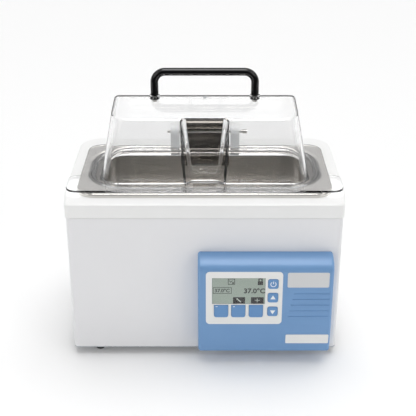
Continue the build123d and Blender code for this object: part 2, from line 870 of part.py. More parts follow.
with BuildPart() as mains_inlet:
    with BuildSketch(rear_plane(inlet_x, inlet_z, case_rear_y)):
        RectangleRounded(inlet_flange_width, inlet_flange_height, inlet_flange_radius)
    extrude(amount=inlet_flange_thickness)
    with BuildSketch(rear_plane(inlet_x, inlet_z, case_rear_y)):
        Rectangle(inlet_hole_width, inlet_hole_height)
    extrude(amount=-inlet_body_depth)
    with BuildSketch(rear_plane(inlet_x, inlet_z, case_rear_y + inlet_flange_thickness)) as socket:
        Rectangle(socket_width, socket_height)
        chamfer(socket.vertices().group_by(Axis.Y)[-1], socket_chamfer)
    extrude(amount=-socket_depth, mode=Mode.SUBTRACT)
    with BuildSketch(rear_plane(inlet_x, inlet_z, case_rear_y + inlet_flange_thickness)):
        with Locations((-inlet_screw_spacing / 2, 0), (inlet_screw_spacing / 2, 0)):
            Circle(inlet_screw_radius)
    extrude(amount=-inlet_flange_thickness, mode=Mode.SUBTRACT)
mains_inlet.part.label = "mains_inlet"
export_step(mains_inlet.part, "parts/mains_inlet.step")

with BuildPart() as inlet_pins:
    pin_floor_y = case_rear_y + inlet_flange_thickness - socket_depth
    with BuildSketch(rear_plane(inlet_x, inlet_z, pin_floor_y)):
        with Locations((-pin_spacing, -pin_rise), (0, pin_rise), (pin_spacing, -pin_rise)):
            Rectangle(pin_width, pin_height)
    extrude(amount=pin_length)
inlet_pins.part.label = "inlet_pins"
export_step(inlet_pins.part, "parts/inlet_pins.step")

# Inlet nuts inside the case, screws through the flange
inlet_nut_radius = 3.0
inlet_nut_height = 2.4
inlet_screw_reach = inlet_flange_thickness + sheet + 4.0

with BuildPart() as inlet_screws:
    with BuildSketch(rear_plane(inlet_x, inlet_z, case_rear_y + inlet_flange_thickness)):
        with Locations((-inlet_screw_spacing / 2, 0), (inlet_screw_spacing / 2, 0)):
            Circle(inlet_screw_radius)
    extrude(amount=-inlet_screw_reach)
    with BuildSketch(rear_plane(inlet_x, inlet_z, case_rear_y - sheet)):
        with Locations((-inlet_screw_spacing / 2, 0), (inlet_screw_spacing / 2, 0)):
            RegularPolygon(inlet_nut_radius, 6)
    extrude(amount=-inlet_nut_height)
inlet_screws.part.label = "inlet_screws"
export_step(inlet_screws.part, "parts/inlet_screws.step")

# Power board on pillars beside the heater, with its transformer
power_board_x = 134.0
power_board_y = -10.0
power_board_width = 56.0
power_board_length = 120.0
power_board_lift = 8.0
board_pillar_radius = 3.2
board_pillar_inset = 5.0
power_board_z = case_bottom + power_board_lift

with BuildPart() as power_board:
    with BuildSketch(Plane.XY.offset(power_board_z)):
        with Locations((power_board_x, power_board_y)):
            Rectangle(power_board_width, power_board_length)
    extrude(amount=board_thickness)
power_board.part.label = "power_board"
export_step(power_board.part, "parts/power_board.step")

with BuildPart() as board_pillars:
    with BuildSketch(Plane.XY.offset(case_bottom)):
        with Locations((power_board_x, power_board_y)):
            with GridLocations(
                power_board_width - 2 * board_pillar_inset,
                power_board_length - 2 * board_pillar_inset,
                2,
                2,
            ):
                RegularPolygon(board_pillar_radius, 6)
    extrude(amount=power_board_lift)
board_pillars.part.label = "board_pillars"
export_step(board_pillars.part, "parts/board_pillars.step")

# Transformer and relay, on the power board one behind the other
part_offset = 30.0
transformer_width = 40.0
transformer_length = 34.0
transformer_height = 28.0
transformer_chamfer = 2.0
relay_width = 24.0
relay_length = 20.0
relay_height = 16.0

with BuildPart() as transformer:
    with BuildSketch(Plane.XY.offset(power_board_z + board_thickness)):
        with Locations((power_board_x, power_board_y - part_offset)):
            Rectangle(transformer_width, transformer_length)
    extrude(amount=transformer_height)
    chamfer(transformer.edges().filter_by(Axis.Z), transformer_chamfer)
    with BuildSketch(Plane.XY.offset(power_board_z + board_thickness)):
        with Locations((power_board_x, power_board_y + part_offset)):
            Rectangle(relay_width, relay_length)
    extrude(amount=relay_height)
transformer.part.label = "transformer"
export_step(transformer.part, "parts/transformer.step")

# Lid, heights from the deck: a flange on the rim, a step into the tank and a gable cover
channel_bottom = 2.0
step_gap = 2.0
flange_bottom = rim_height
flange_top = rim_height + lid_wall
ear_corner_radius = 14.0
ear_rear_radius = 9.0
flange_rear_radius = 20.0
notch_pane_depth = 64.0
notch_top_half = 27.0
notch_bottom_half = 15.8
notch_top_flare = 1.06
notch_bottom_flare = 0.70
slot_half_width = 14.7
slot_front_depth = 37.5
slot_rear_depth = 61.5
hinge_cutout_half = 35.0
hinge_cutout_front = 170.5
handle_half_spacing = 64.0
handle_boss_radius = 6.5
handle_boss_low = 99.8
handle_boss_top = 106.0
handle_screw_radius = 2.0
flange_edge_radius = 1.0
notch_corner_radius = 4.0
gable_foot_radius = 2.5


def gable_block(inset):
    """House-shaped block of the lid, drawn in by inset on every side but the open bottom."""
    low = deck_top + channel_bottom
    run_out = 10.0
    wall_slope = (gable_half_depth - eave_half_depth) / (eave_height - channel_bottom)
    end_slope = math.tan(math.radians(gable_lean))
    half_depth = gable_half_depth + wall_slope * run_out
    half_length = gable_half_length + end_slope * run_out
    top = ridge_height + run_out
    top_half_length = gable_half_length - end_slope * (top - channel_bottom)
    with BuildPart() as block:
        with BuildSketch(Plane.YZ):
            with BuildLine():
                Polyline(
                    (tank_y - half_depth, low - run_out),
                    (tank_y - eave_half_depth, deck_top + eave_height),
                    (tank_y, deck_top + ridge_height),
                    (tank_y + eave_half_depth, deck_top + eave_height),
                    (tank_y + half_depth, low - run_out),
                    close=True,
                )
            make_face()
            if inset > 0:
                offset(amount=-inset, kind=Kind.INTERSECTION, mode=Mode.REPLACE)
        extrude(amount=body_width / 2, both=True)
        with BuildSketch(Plane.XZ):
            with BuildLine():
                Polyline(
                    (-half_length, low - run_out),
                    (-top_half_length, deck_top + top),
                    (top_half_length, deck_top + top),
                    (half_length, low - run_out),
                    close=True,
                )
            make_face()
            if inset > 0:
                offset(amount=-inset, kind=Kind.INTERSECTION, mode=Mode.REPLACE)
        extrude(amount=body_depth, both=True, mode=Mode.INTERSECT)
        split(bisect_by=Plane.XY.offset(low), keep=Keep.TOP)
        corner_edges = [e for e in block.edges()
                        if low + 10 < e.center().Z < deck_top + eave_height - 10]
        fillet(corner_edges, gable_corner_radius - inset)
        upper_edges = [e for e in block.edges() if e.center().Z > deck_top + eave_height - 8]
        fillet(upper_edges, gable_edge_radius - inset)
    return block.part


def notch_block(grow):
    """Recess in the front wall: wide at the eave, narrow at the foot, with an upright pane."""
    mouth_depth = 44.0
    top = ridge_height
    pane_depth = notch_pane_depth + grow
    reach = pane_depth - mouth_depth
    with BuildPart() as block:
        for depth, flare in ((mouth_depth, reach), (pane_depth, 0.0)):
            top_half = notch_top_half + grow + notch_top_flare * flare
            bottom_half = notch_bottom_half + grow + notch_bottom_flare * flare
            with BuildSketch(face_plane(0, deck_top, front_y + depth)):
                with BuildLine():
                    Polyline(
                        (-bottom_half, channel_bottom - grow),
                        (bottom_half, channel_bottom - grow),
                        (top_half, top),
                        (-top_half, top),
                        close=True,
                    )
                make_face()
        loft(ruled=True)
        pane_sides = [
            e for e in block.edges()
            if e.center().Y > front_y + pane_depth - 1 and abs(e.center().X) > notch_bottom_half
        ]
        fillet(pane_sides, notch_corner_radius + grow)
    return block.part


with BuildPart() as gable_shape:
    add(gable_block(0))
    add(notch_block(0), mode=Mode.SUBTRACT)

with BuildPart() as gable_void:
    add(gable_block(lid_wall))
    add(notch_block(lid_wall), mode=Mode.SUBTRACT)

with BuildPart() as lid:
    with BuildSketch(Plane.XY.offset(deck_top + flange_bottom)) as flange_plan:
        with BuildLine():
            Polyline(
                (-ear_half_width, front_y + flange_front),
                (ear_half_width, front_y + flange_front),
                (ear_half_width, front_y + ear_rear),
                (flange_half_width, front_y + ear_rear),
                (flange_half_width, front_y + flange_rear),
                (-flange_half_width, front_y + flange_rear),
                (-flange_half_width, front_y + ear_rear),
                (-ear_half_width, front_y + ear_rear),
                close=True,
            )
        make_face()
        fillet(flange_plan.vertices().group_by(Axis.Y)[-1], flange_rear_radius)
        ear_corners = [v for v in flange_plan.vertices() if abs(v.X) > ear_half_width - 1]
        fillet([v for v in ear_corners if v.Y > front_y + ear_rear - 1], ear_rear_radius)
        fillet(flange_plan.vertices().group_by(Axis.Y)[0], ear_corner_radius)
    extrude(amount=lid_wall)
    flange_faces = lid.faces().sort_by(Axis.Z)
    fillet(flange_faces[0].edges() + flange_faces[-1].edges(), flange_edge_radius)
    with BuildSketch(Plane.XY.offset(deck_top + channel_bottom)):
        with Locations((0, tank_y)):
            RectangleRounded(
                tank_length - 2 * step_gap, tank_width - 2 * step_gap, tank_corner_radius - step_gap
            )
    extrude(amount=flange_top - channel_bottom)
    with BuildSketch(Plane.XY.offset(deck_top + channel_bottom + lid_wall)):
        with Locations((0, tank_y)):
            RectangleRounded(
                tank_length - 2 * step_gap - 2 * lid_wall,
                tank_width - 2 * step_gap - 2 * lid_wall,
                tank_corner_radius - step_gap - lid_wall,
            )
    extrude(amount=lid_wall, mode=Mode.SUBTRACT)
    add(gable_shape.part)
    channel_floor = deck_top + channel_bottom + lid_wall
    foot_edges = [
        e for e in lid.edges().filter_by_position(Axis.Z, channel_floor - 0.01, channel_floor + 0.01)
        if abs(e.center().X) < gable_half_length + 1 and abs(e.center().Y - tank_y) < gable_half_depth + 1
    ]
    fillet(foot_edges, gable_foot_radius)
    with BuildSketch(Plane.XY.offset(deck_top + handle_boss_low)):
        with Locations((-handle_half_spacing, tank_y), (handle_half_spacing, tank_y)):
            Circle(handle_boss_radius)
    extrude(amount=handle_boss_top - handle_boss_low)
    add(gable_void.part, mode=Mode.SUBTRACT)
    with BuildSketch(Plane.XY.offset(deck_top + handle_boss_low)):
        with Locations((-handle_half_spacing, tank_y), (handle_half_spacing, tank_y)):
            Circle(handle_boss_radius)
    extrude(amount=lid_wall)
    with BuildSketch(Plane.XY.offset(deck_top + handle_boss_low)):
        with Locations((-handle_half_spacing, tank_y), (handle_half_spacing, tank_y)):
            Circle(handle_screw_radius)
    extrude(amount=handle_boss_top - handle_boss_low, mode=Mode.SUBTRACT)
    with BuildSketch(Plane.XY.offset(deck_top)):
        with Locations((0, front_y + (slot_front_depth + slot_rear_depth) / 2)):
            Rectangle(2 * slot_half_width, slot_rear_depth - slot_front_depth)
        with Locations((0, front_y + (hinge_cutout_front + flange_rear + 5) / 2)):
            Rectangle(2 * hinge_cutout_half, flange_rear + 5 - hinge_cutout_front)
    extrude(amount=flange_top + 1, mode=Mode.SUBTRACT)
lid.part.label = "lid"
export_step(lid.part, "parts/lid.step")

# Handle: a bent round bar standing on the two lid bosses
handle_radius = 5.0
handle_height = 136.4
handle_bend = 13.7
handle_foot_z = deck_top + handle_boss_top
handle_top_z = deck_top + handle_height
handle_screw_reach = 14.0

with BuildPart() as lid_handle:
    with BuildLine():
        FilletPolyline(
            (-handle_half_spacing, tank_y, handle_foot_z),
            (-handle_half_spacing, tank_y, handle_top_z),
            (handle_half_spacing, tank_y, handle_top_z),
            (handle_half_spacing, tank_y, handle_foot_z),
            radius=handle_bend,
        )
    with BuildSketch(Plane.XY.offset(handle_foot_z)):
        with Locations((-handle_half_spacing, tank_y)):
            Circle(handle_radius)
    sweep()
    with BuildSketch(Plane.XY.offset(handle_foot_z)):
        with Locations((-handle_half_spacing, tank_y), (handle_half_spacing, tank_y)):
            Circle(handle_screw_radius)
    extrude(amount=handle_screw_reach, mode=Mode.SUBTRACT)
lid_handle.part.label = "lid_handle"
export_step(lid_handle.part, "parts/lid_handle.step")

# Handle screws and washers, seen through the lid below the bosses
washer_radius = 5.0
washer_thickness = 1.0
handle_screw_head_radius = 3.4
handle_screw_head_height = 3.0
washer_bottom_z = deck_top + handle_boss_low - washer_thickness

with BuildPart() as handle_washers:
    with BuildSketch(Plane.XY.offset(washer_bottom_z)):
        with Locations((-handle_half_spacing, tank_y), (handle_half_spacing, tank_y)):
            Circle(washer_radius)
            Circle(handle_screw_radius, mode=Mode.SUBTRACT)
    extrude(amount=washer_thickness)
handle_washers.part.label = "handle_washers"
export_step(handle_washers.part, "parts/handle_washers.step")

with BuildPart() as handle_screws:
    with BuildSketch(Plane.XY.offset(washer_bottom_z)):
        with Locations((-handle_half_spacing, tank_y), (handle_half_spacing, tank_y)):
            Circle(handle_screw_head_radius)
    extrude(amount=-handle_screw_head_height)
    with BuildSketch(Plane.XY.offset(washer_bottom_z)):
        with Locations((-handle_half_spacing, tank_y), (handle_half_spacing, tank_y)):
            Circle(handle_screw_radius)
    extrude(amount=handle_foot_z + handle_screw_reach - 2 - washer_bottom_z)
handle_screws.part.label = "handle_screws"
export_step(handle_screws.part, "parts/handle_screws.step")

# Hinge bracket: bent strip hooked over the rear rim, an upright plate with a rolled top
# and two ears bored for the rod
bracket_sheet = 1.5
bend_radius = 1.5
hook_front = 173.7
hook_drop = 20.0
saddle_rear = 192.8
saddle_rear_bottom = 0.5
plate_front = 186.5
roll_radius = 7.0
roll_height = 39.4
ear_front = 179.0
ear_low = 12.0
ear_high = 31.0
rod_clearance = 0.05
plate_mid_y = front_y + plate_front + bracket_sheet / 2

with BuildPart() as hinge_bracket:
    with BuildSketch(Plane.YZ.offset(-bracket_half_width)) as strip:
        with BuildLine():
            Polyline(
                (front_y + hook_front, deck_top - hook_drop),
                (front_y + hook_front, deck_top + rim_height + bracket_sheet),
                (front_y + saddle_rear, deck_top + rim_height + bracket_sheet),
                (front_y + saddle_rear, deck_top + saddle_rear_bottom),
                (front_y + saddle_rear - bracket_sheet, deck_top + saddle_rear_bottom),
                (front_y + saddle_rear - bracket_sheet, deck_top + rim_height),
                (front_y + hook_front + bracket_sheet, deck_top + rim_height),
                (front_y + hook_front + bracket_sheet, deck_top - hook_drop),
                close=True,
            )
        make_face()
        saddle_corners = strip.vertices().filter_by_position(Axis.Y, deck_top + 1, deck_top + 10)
        outer_corners = saddle_corners.group_by(Axis.Y)[-1]
        inner_corners = saddle_corners.group_by(Axis.Y)[0]
        fillet(outer_corners, bend_radius + bracket_sheet)
        fillet(inner_corners, bend_radius)
    extrude(amount=2 * bracket_half_width)
    with BuildSketch(Plane.YZ.offset(-bracket_half_width)):
        with Locations((plate_mid_y, deck_top + (rim_height + roll_height) / 2)):
            Rectangle(bracket_sheet, roll_height - rim_height)
        with Locations((plate_mid_y + bracket_sheet / 2 - roll_radius, deck_top + roll_height)):
            Circle(roll_radius)
            Circle(roll_radius - bracket_sheet, mode=Mode.SUBTRACT)
    extrude(amount=2 * bracket_half_width)
    for ear_x in (-bracket_half_width, bracket_half_width - bracket_sheet):
        with BuildSketch(Plane.YZ.offset(ear_x)):
            with Locations((
                front_y + (ear_front + plate_front + bracket_sheet) / 2,
                deck_top + (ear_low + ear_high) / 2,
            )):
                Rectangle(plate_front + bracket_sheet - ear_front, ear_high - ear_low)
        extrude(amount=bracket_sheet)
    with BuildSketch(Plane.YZ.offset(-bracket_half_width)):
        with Locations((pivot_y, pivot_z)):
            Circle(rod_radius + rod_clearance)
    extrude(amount=2 * bracket_half_width, mode=Mode.SUBTRACT)
hinge_bracket.part.label = "hinge_bracket"
export_step(hinge_bracket.part, "parts/hinge_bracket.step")

# Hinge lugs: moulded blocks on the lid flange, round at the top, that carry the rod
lug_inner = 35.4
lug_outer = 47.4
lug_radius = 12.0
lug_front = 174.0

for lug_name, lug_start in (("hinge_lug_left", -lug_outer), ("hinge_lug_right", lug_inner)):
    with BuildPart() as lug:
        with BuildSketch(Plane.YZ.offset(lug_start)):
            with Locations((pivot_y, pivot_z)):
                Circle(lug_radius)
            with BuildLine():
                Polyline(
                    (front_y + lug_front, deck_top + flange_top),
                    (front_y + flange_rear, deck_top + flange_top),
                    (front_y + flange_rear, pivot_z),
                    (pivot_y - lug_radius, pivot_z),
                    close=True,
                )
            make_face()
            with Locations((pivot_y, pivot_z)):
                Circle(rod_radius, mode=Mode.SUBTRACT)
        extrude(amount=lug_outer - lug_inner)
    lug.part.label = lug_name
    export_step(lug.part, f"parts/{lug_name}.step")

# Hinge rod through the lugs and the bracket ears, with a knurled head on the right
rod_left = -52.0
rod_right = 52.0
rod_head_radius = 3.0
rod_head_right = 58.0

with BuildPart() as hinge_rod:
    with BuildSketch(Plane.YZ.offset(rod_left)):
        with Locations((pivot_y, pivot_z)):
            Circle(rod_radius)
    extrude(amount=rod_right - rod_left)
    with BuildSketch(Plane.YZ.offset(rod_right)):
        with Locations((pivot_y, pivot_z)):
            Circle(rod_head_radius)
    extrude(amount=rod_head_right - rod_right)
hinge_rod.part.label = "hinge_rod"
export_step(hinge_rod.part, "parts/hinge_rod.step")
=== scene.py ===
# %% [markdown]
# # A laboratory water bath
# A white steel case with a drawn stainless tank, a clear moulded lid on a rear hinge and a blue
# control unit. The CAD model gives every rigid form, so this lesson is about finishes, printed
# signs, the small screws that catch the eye, and the light of a plain studio.

import math

import bpy
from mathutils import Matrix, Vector


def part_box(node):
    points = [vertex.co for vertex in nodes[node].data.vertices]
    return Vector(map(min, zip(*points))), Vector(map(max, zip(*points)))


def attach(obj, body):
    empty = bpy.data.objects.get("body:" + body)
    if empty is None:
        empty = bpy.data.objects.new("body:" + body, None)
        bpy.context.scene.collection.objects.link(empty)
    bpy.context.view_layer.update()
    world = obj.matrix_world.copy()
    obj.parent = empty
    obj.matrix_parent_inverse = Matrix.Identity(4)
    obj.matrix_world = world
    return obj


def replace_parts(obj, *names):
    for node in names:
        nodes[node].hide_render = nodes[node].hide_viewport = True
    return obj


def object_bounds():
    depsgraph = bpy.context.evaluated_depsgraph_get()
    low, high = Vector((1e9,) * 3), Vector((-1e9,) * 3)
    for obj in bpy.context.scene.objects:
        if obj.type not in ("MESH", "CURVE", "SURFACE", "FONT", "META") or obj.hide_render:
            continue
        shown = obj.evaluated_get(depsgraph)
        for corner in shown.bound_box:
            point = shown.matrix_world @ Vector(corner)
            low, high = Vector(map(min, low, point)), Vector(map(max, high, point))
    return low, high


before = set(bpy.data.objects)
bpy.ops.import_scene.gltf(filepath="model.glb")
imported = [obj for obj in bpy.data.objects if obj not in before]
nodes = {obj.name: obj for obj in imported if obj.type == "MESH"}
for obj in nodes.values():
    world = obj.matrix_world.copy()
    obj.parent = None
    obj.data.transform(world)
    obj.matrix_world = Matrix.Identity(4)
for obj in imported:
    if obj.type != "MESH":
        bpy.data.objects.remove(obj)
cad_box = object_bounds()
MM = 0.001
bpy.ops.object.select_all(action="DESELECT")

# %% [markdown]
# ## Helpers for nodes
# A colour is given as an sRGB hex code, while the shader wants linear light, so one function
# turns one into the other. Patterns are stated by the size of their cells on the real surface,
# and a second function turns that into the scale that a texture node takes.

# %% Colours, scales and nodes
def srgb(hex_code):
    """A hex colour as the linear red, green, blue and alpha that Blender's sockets take."""
    channels = [int(hex_code[i:i + 2], 16) / 255 for i in (1, 3, 5)]
    linear = [c / 12.92 if c <= 0.04045 else ((c + 0.055) / 1.055) ** 2.4 for c in channels]
    return (*linear, 1.0)


def cell(size_mm):
    """Texture scale at which one cell of the pattern measures size_mm on the object."""
    return 1.0 / (size_mm * MM)


def add_node(tree, kind, values=None, links=None, **settings):
    """Adds a node, with values for its sockets, links into them and its own settings."""
    node = tree.nodes.new(kind)
    for name, value in settings.items():
        setattr(node, name, value)
    for socket, value in (values or {}).items():
        node.inputs[socket].default_value = value
    for socket, source in (links or {}).items():
        tree.links.new(source, node.inputs[socket])
    return node


def calculate(tree, operation, *terms):
    """The result of a math node, whose terms are numbers or outputs of other nodes."""
    values = {i: term for i, term in enumerate(terms) if isinstance(term, float)}
    links = {i: term for i, term in enumerate(terms) if i not in values}
    return add_node(tree, "ShaderNodeMath", values, links, operation=operation).outputs["Value"]


def mix_shaders(tree, share, first, second):
    """The first shader where share is 0, the second where it is 1."""
    mix = add_node(tree, "ShaderNodeMixShader", None, {0: share, 1: first, 2: second})
    return mix.outputs["Shader"]


# %% [markdown]
# ## Helpers for finishes
# Nearly every surface is a plain colour with a fine grain. The grain changes the colour a little,
# makes the shine uneven and lifts the surface by a few thousandths of a millimetre. A pattern can
# be drawn out along an axis, as brushing is, by squeezing the coordinates that it reads.

# %% Patterns, and how they reach the shader
def new_finish(name, colour, roughness, **sockets):
    """A material, its tree, shader and coordinates. Patterns linked later vary the values."""
    finish = bpy.data.materials.new(name)
    finish.use_nodes = True
    shader = finish.node_tree.nodes["Principled BSDF"]
    shader.inputs["Base Color"].default_value = srgb(colour)
    shader.inputs["Roughness"].default_value = roughness
    for socket, value in sockets.items():
        shader.inputs[socket.replace("_", " ")].default_value = value
    place = add_node(finish.node_tree, "ShaderNodeTexCoord").outputs["Object"]
    return finish, finish.node_tree, shader, place


def noise(tree, place, size_mm, detail, **sockets):
    """Cloudy noise with cells of size_mm, from 0 to 1."""
    values = {"Scale": cell(size_mm), "Detail": detail, **sockets}
    return add_node(tree, "ShaderNodeTexNoise", values, {"Vector": place}).outputs["Fac"]


def squeezed(tree, place, scale):
    """Coordinates times scale: a pattern that reads them is drawn out where scale is small."""
    mapping = add_node(tree, "ShaderNodeMapping", {"Scale": scale}, {"Vector": place})
    return mapping.outputs["Vector"]


def link_tint(tree, shader, pattern, dark, light):
    """The surface colour runs from dark to light with the pattern."""
    ramp = add_node(tree, "ShaderNodeValToRGB", links={"Fac": pattern})
    ramp.color_ramp.elements[0].color = srgb(dark)
    ramp.color_ramp.elements[1].color = srgb(light)
    tree.links.new(ramp.outputs["Color"], shader.inputs["Base Color"])
    return ramp


def link_sheen_range(tree, shader, pattern, low, high):
    """Roughness runs from low to high with the pattern."""
    spread = add_node(
        tree, "ShaderNodeMapRange", {"To Min": low, "To Max": high}, {"Value": pattern}
    )
    tree.links.new(spread.outputs["Result"], shader.inputs["Roughness"])


def link_relief(tree, shader, pattern, height_mm, strength=1.0):
    """The pattern stands up by height_mm where it is white."""
    values = {"Distance": height_mm * MM, "Strength": strength}
    bump = add_node(tree, "ShaderNodeBump", values, {"Height": pattern})
    tree.links.new(bump.outputs["Normal"], shader.inputs["Normal"])


def dress(finish, *names):
    """Gives CAD nodes their finish."""
    for name in names:
        mesh = nodes[name].data
        mesh.materials.clear()
        mesh.materials.append(finish)


# %% [markdown]
# ## The white body
# The deck is moulded plastic with a fine satin skin. The case below is folded steel, powder
# coated: the powder melts into a film that stays faintly rippled, like orange peel, with ripples
# of about two millimetres. Both are nearly the same white, so the ripple and the shine are what
# tell them apart.

# %% Moulded deck and powder-coated case
def moulded_cover():
    """Moulded ABS, satin: a soft broad highlight over a very fine spark-eroded grain."""
    finish, tree, shader, place = new_finish("moulded_abs_white", "#F4F4F3", 0.32, IOR=1.54)
    grain = noise(tree, place, 0.9, 3.0)
    mottle = noise(tree, place, 40, 2.0)
    link_tint(tree, shader, mottle, "#F2F2F1", "#F6F6F5")
    link_sheen_range(tree, shader, grain, 0.28, 0.40)
    link_relief(tree, shader, grain, 0.006)
    return finish


def powder_coat():
    """Polyester powder coat on steel: white, with the ripple of orange peel."""
    finish, tree, shader, place = new_finish("powder_coated_steel", "#EEEEEF", 0.45, IOR=1.5)
    peel = noise(tree, place, 2.2, 2.0)
    film = noise(tree, place, 60, 2.0)
    link_tint(tree, shader, film, "#ECECEE", "#F0F0F1")
    link_sheen_range(tree, shader, peel, 0.40, 0.52)
    link_relief(tree, shader, peel, 0.015)
    return finish


dress(moulded_cover(), "top_cover")
dress(powder_coat(), "outer_case")
print("deck and case are finished")

# %% [markdown]
# ## Bare metals
# Stainless steel sheet comes brushed: abrasive belts leave long scratches along the sheet, a few
# tenths of a millimetre apart. Noise that is squeezed along one axis draws them. Deep drawing
# keeps the brushing on the walls of the tank, so its streaks run level round the well. Light
# spreads across scratches, not along them, so highlights on the walls stand upright: the shader
# gets a level tangent and an anisotropy turned by a quarter. The bent strip of the hinge is
# smoother, and its much darker colour is painted shade, standing for the dark room that it
# mirrors. The hinge rod and the sheath of the probe are ground and duller.
# The folded base is zinc plated, which dries in soft patches, or spangles, of a few millimetres.

# %% Brushed stainless
def brushed_stainless(name, colour, low, high, streak_mm):
    """Brushed stainless: streaks along X in shine and shade, with highlights drawn out upright."""
    quarter_turn = 0.25
    finish, tree, shader, place = new_finish(
        name, colour, low, Metallic=1.0, Anisotropic=0.6, Anisotropic_Rotation=quarter_turn
    )
    level = add_node(tree, "ShaderNodeTangent", direction_type="RADIAL", axis="Z")
    tree.links.new(level.outputs["Tangent"], shader.inputs["Tangent"])
    streaks = noise(tree, squeezed(tree, place, (0.01, 1.0, 1.0)), streak_mm, 4.0, Roughness=0.6)
    stain = noise(tree, place, 45, 3.0)
    blend = add_node(tree, "ShaderNodeMix", {"Factor": 0.35}, {"A": streaks, "B": stain})
    ramp = link_tint(tree, shader, blend.outputs["Result"], colour, colour)
    for stop, position, shade in zip(ramp.color_ramp.elements, (0.3, 0.7), (0.90, 1.08)):
        stop.position = position
        stop.color = (*[min(1.0, shade * c) for c in srgb(colour)[:3]], 1.0)
    link_sheen_range(tree, shader, streaks, low, high)
    link_relief(tree, shader, streaks, 0.0006)
    return finish


# %% Zinc, aluminium and screw steel
def zinc_plate():
    """Zinc-plated steel: a dull grey metal with spangles of about 6 mm."""
    finish, tree, shader, place = new_finish("zinc_plated_steel", "#B4B8BC", 0.38, Metallic=1.0)
    spangle = add_node(tree, "ShaderNodeTexVoronoi", {"Scale": cell(6)}, {"Vector": place})
    shade = add_node(tree, "ShaderNodeSeparateColor", links={"Color": spangle.outputs["Color"]})
    link_tint(tree, shader, shade.outputs["Red"], "#A6ABB0", "#BEC2C5")
    link_sheen_range(tree, shader, shade.outputs["Green"], 0.32, 0.48)
    return finish


def mill_aluminium():
    """Mill-finish aluminium: pale, with faint rolling lines about half a millimetre apart."""
    finish, tree, shader, place = new_finish("mill_aluminium", "#C9CBCD", 0.40, Metallic=1.0)
    lines = noise(tree, squeezed(tree, place, (0.03, 1.0, 1.0)), 0.5, 2.0)
    link_tint(tree, shader, lines, "#BCBFC2", "#D2D4D6")
    link_sheen_range(tree, shader, lines, 0.34, 0.50)
    return finish


def plated_screw():
    """Nickel-plated screw steel: bright, with fine wear that dulls patches under a millimetre."""
    finish, tree, shader, place = new_finish("nickel_plated_screw", "#C3C1BD", 0.24, Metallic=1.0)
    wear = noise(tree, place, 0.7, 3.0)
    link_tint(tree, shader, wear, "#A9A7A3", "#CFCDC9")
    link_sheen_range(tree, shader, wear, 0.18, 0.38)
    return finish


tank_steel = brushed_stainless("drawn_stainless", "#DAD7D3", low=0.18, high=0.28, streak_mm=0.5)
# The hinge strip is the tank's steel painted far darker: painted shade for the dark room it mirrors.
painted_shade_bracket_steel = brushed_stainless(
    "polished_stainless_painted_shade", "#7B7772", low=0.16, high=0.24, streak_mm=0.4
)
sheath_steel = brushed_stainless("sheath_stainless", "#D2D0CD", low=0.30, high=0.42, streak_mm=0.4)
zinc = zinc_plate()
screw_steel = plated_screw()
dress(tank_steel, "tank")
dress(painted_shade_bracket_steel, "hinge_bracket")
dress(sheath_steel, "temperature_probe", "hinge_rod")
dress(zinc, "base_plate", "clamp_pillars", "board_pillars")
dress(mill_aluminium(), "heater_clamp")
dress(screw_steel, "unit_screws", "inlet_pins", "handle_washers")
print("metals are finished")

# %% [markdown]
# ## The blue control unit
# The housing is ABS in one colour right through. Its mould was spark eroded, which leaves an even
# matt grain of about 0.4 mm that spreads every highlight. The key caps are a little deeper in
# colour and shinier. The bezel is a satin white moulding, and the same recipe with other tones
# gives the badge plate, the pale hinge lugs and the black phenolic parts.

# %% Blue and white mouldings
def eroded_blue():
    """Spark-eroded ABS, blue: matt, with an even grain."""
    finish, tree, shader, place = new_finish(
        "textured_abs_blue", "#709CCC", 0.42, IOR=1.54, Specular_IOR_Level=0.6
    )
    grain = noise(tree, place, 0.4, 2.0)
    cloud = noise(tree, place, 35, 2.0)
    link_tint(tree, shader, cloud, "#6D99C9", "#739FCF")
    link_sheen_range(tree, shader, grain, 0.36, 0.50)
    link_relief(tree, shader, grain, 0.010)
    return finish


def key_blue():
    """Key caps of silicone-coated ABS: satin, a deeper blue than the housing."""
    finish, tree, shader, place = new_finish("satin_key_blue", "#6594C8", 0.34, IOR=1.5)
    skin = noise(tree, place, 0.6, 2.0)
    link_tint(tree, shader, skin, "#6291C5", "#6998CB")
    link_sheen_range(tree, shader, skin, 0.30, 0.42)
    link_relief(tree, shader, skin, 0.004)
    return finish


def satin_moulding(name, dark, light, roughness):
    """Satin moulded plastic: a plain colour with a hardly visible grain of half a millimetre."""
    finish, tree, shader, place = new_finish(name, light, roughness, IOR=1.5)
    grain = noise(tree, place, 0.5, 2.0)
    link_tint(tree, shader, grain, dark, light)
    link_sheen_range(tree, shader, grain, roughness - 0.05, roughness + 0.07)
    link_relief(tree, shader, grain, 0.005)
    return finish


keys = ("soft_key_left", "soft_key_middle", "soft_key_right", "power_key", "up_key", "down_key")
bezel_white = satin_moulding("satin_moulding_white", "#EDEDEB", "#F2F2F0", 0.38)
badge_silver = satin_moulding("anodised_foil_silver", "#D2D3D4", "#DADBDC", 0.34)
hinge_grey = satin_moulding("moulded_nylon_grey", "#F0F0EF", "#F6F6F5", 0.40)
black_bakelite = satin_moulding("moulded_phenolic_black", "#1A1A1B", "#222223", 0.50)
dress(eroded_blue(), "control_housing")
dress(key_blue(), *keys)
dress(bezel_white, "keypad_bezel", "name_plate")
dress(badge_silver, "badge_plate")
dress(hinge_grey, "hinge_lug_left", "hinge_lug_right")
dress(black_bakelite, "cutout_thermostat", "push_switches", "mains_inlet", "transformer")
print("control unit is finished")

# %% [markdown]
# ## Handle and feet
# The bar handle is plastic coated: black with a clean gloss line along it. The feet are rubber,
# which is dull and a little dusty.

# %% Black coating and rubber
def coated_handle():
    """Polyamide-coated steel tube: deep black, smooth, with long soft highlights."""
    finish, tree, shader, place = new_finish("nylon_coated_black", "#09090A", 0.18, IOR=1.53)
    dip = noise(tree, place, 4, 2.0)
    link_tint(tree, shader, dip, "#080809", "#0D0D0E")
    link_sheen_range(tree, shader, dip, 0.14, 0.22)
    link_relief(tree, shader, dip, 0.01)
    return finish


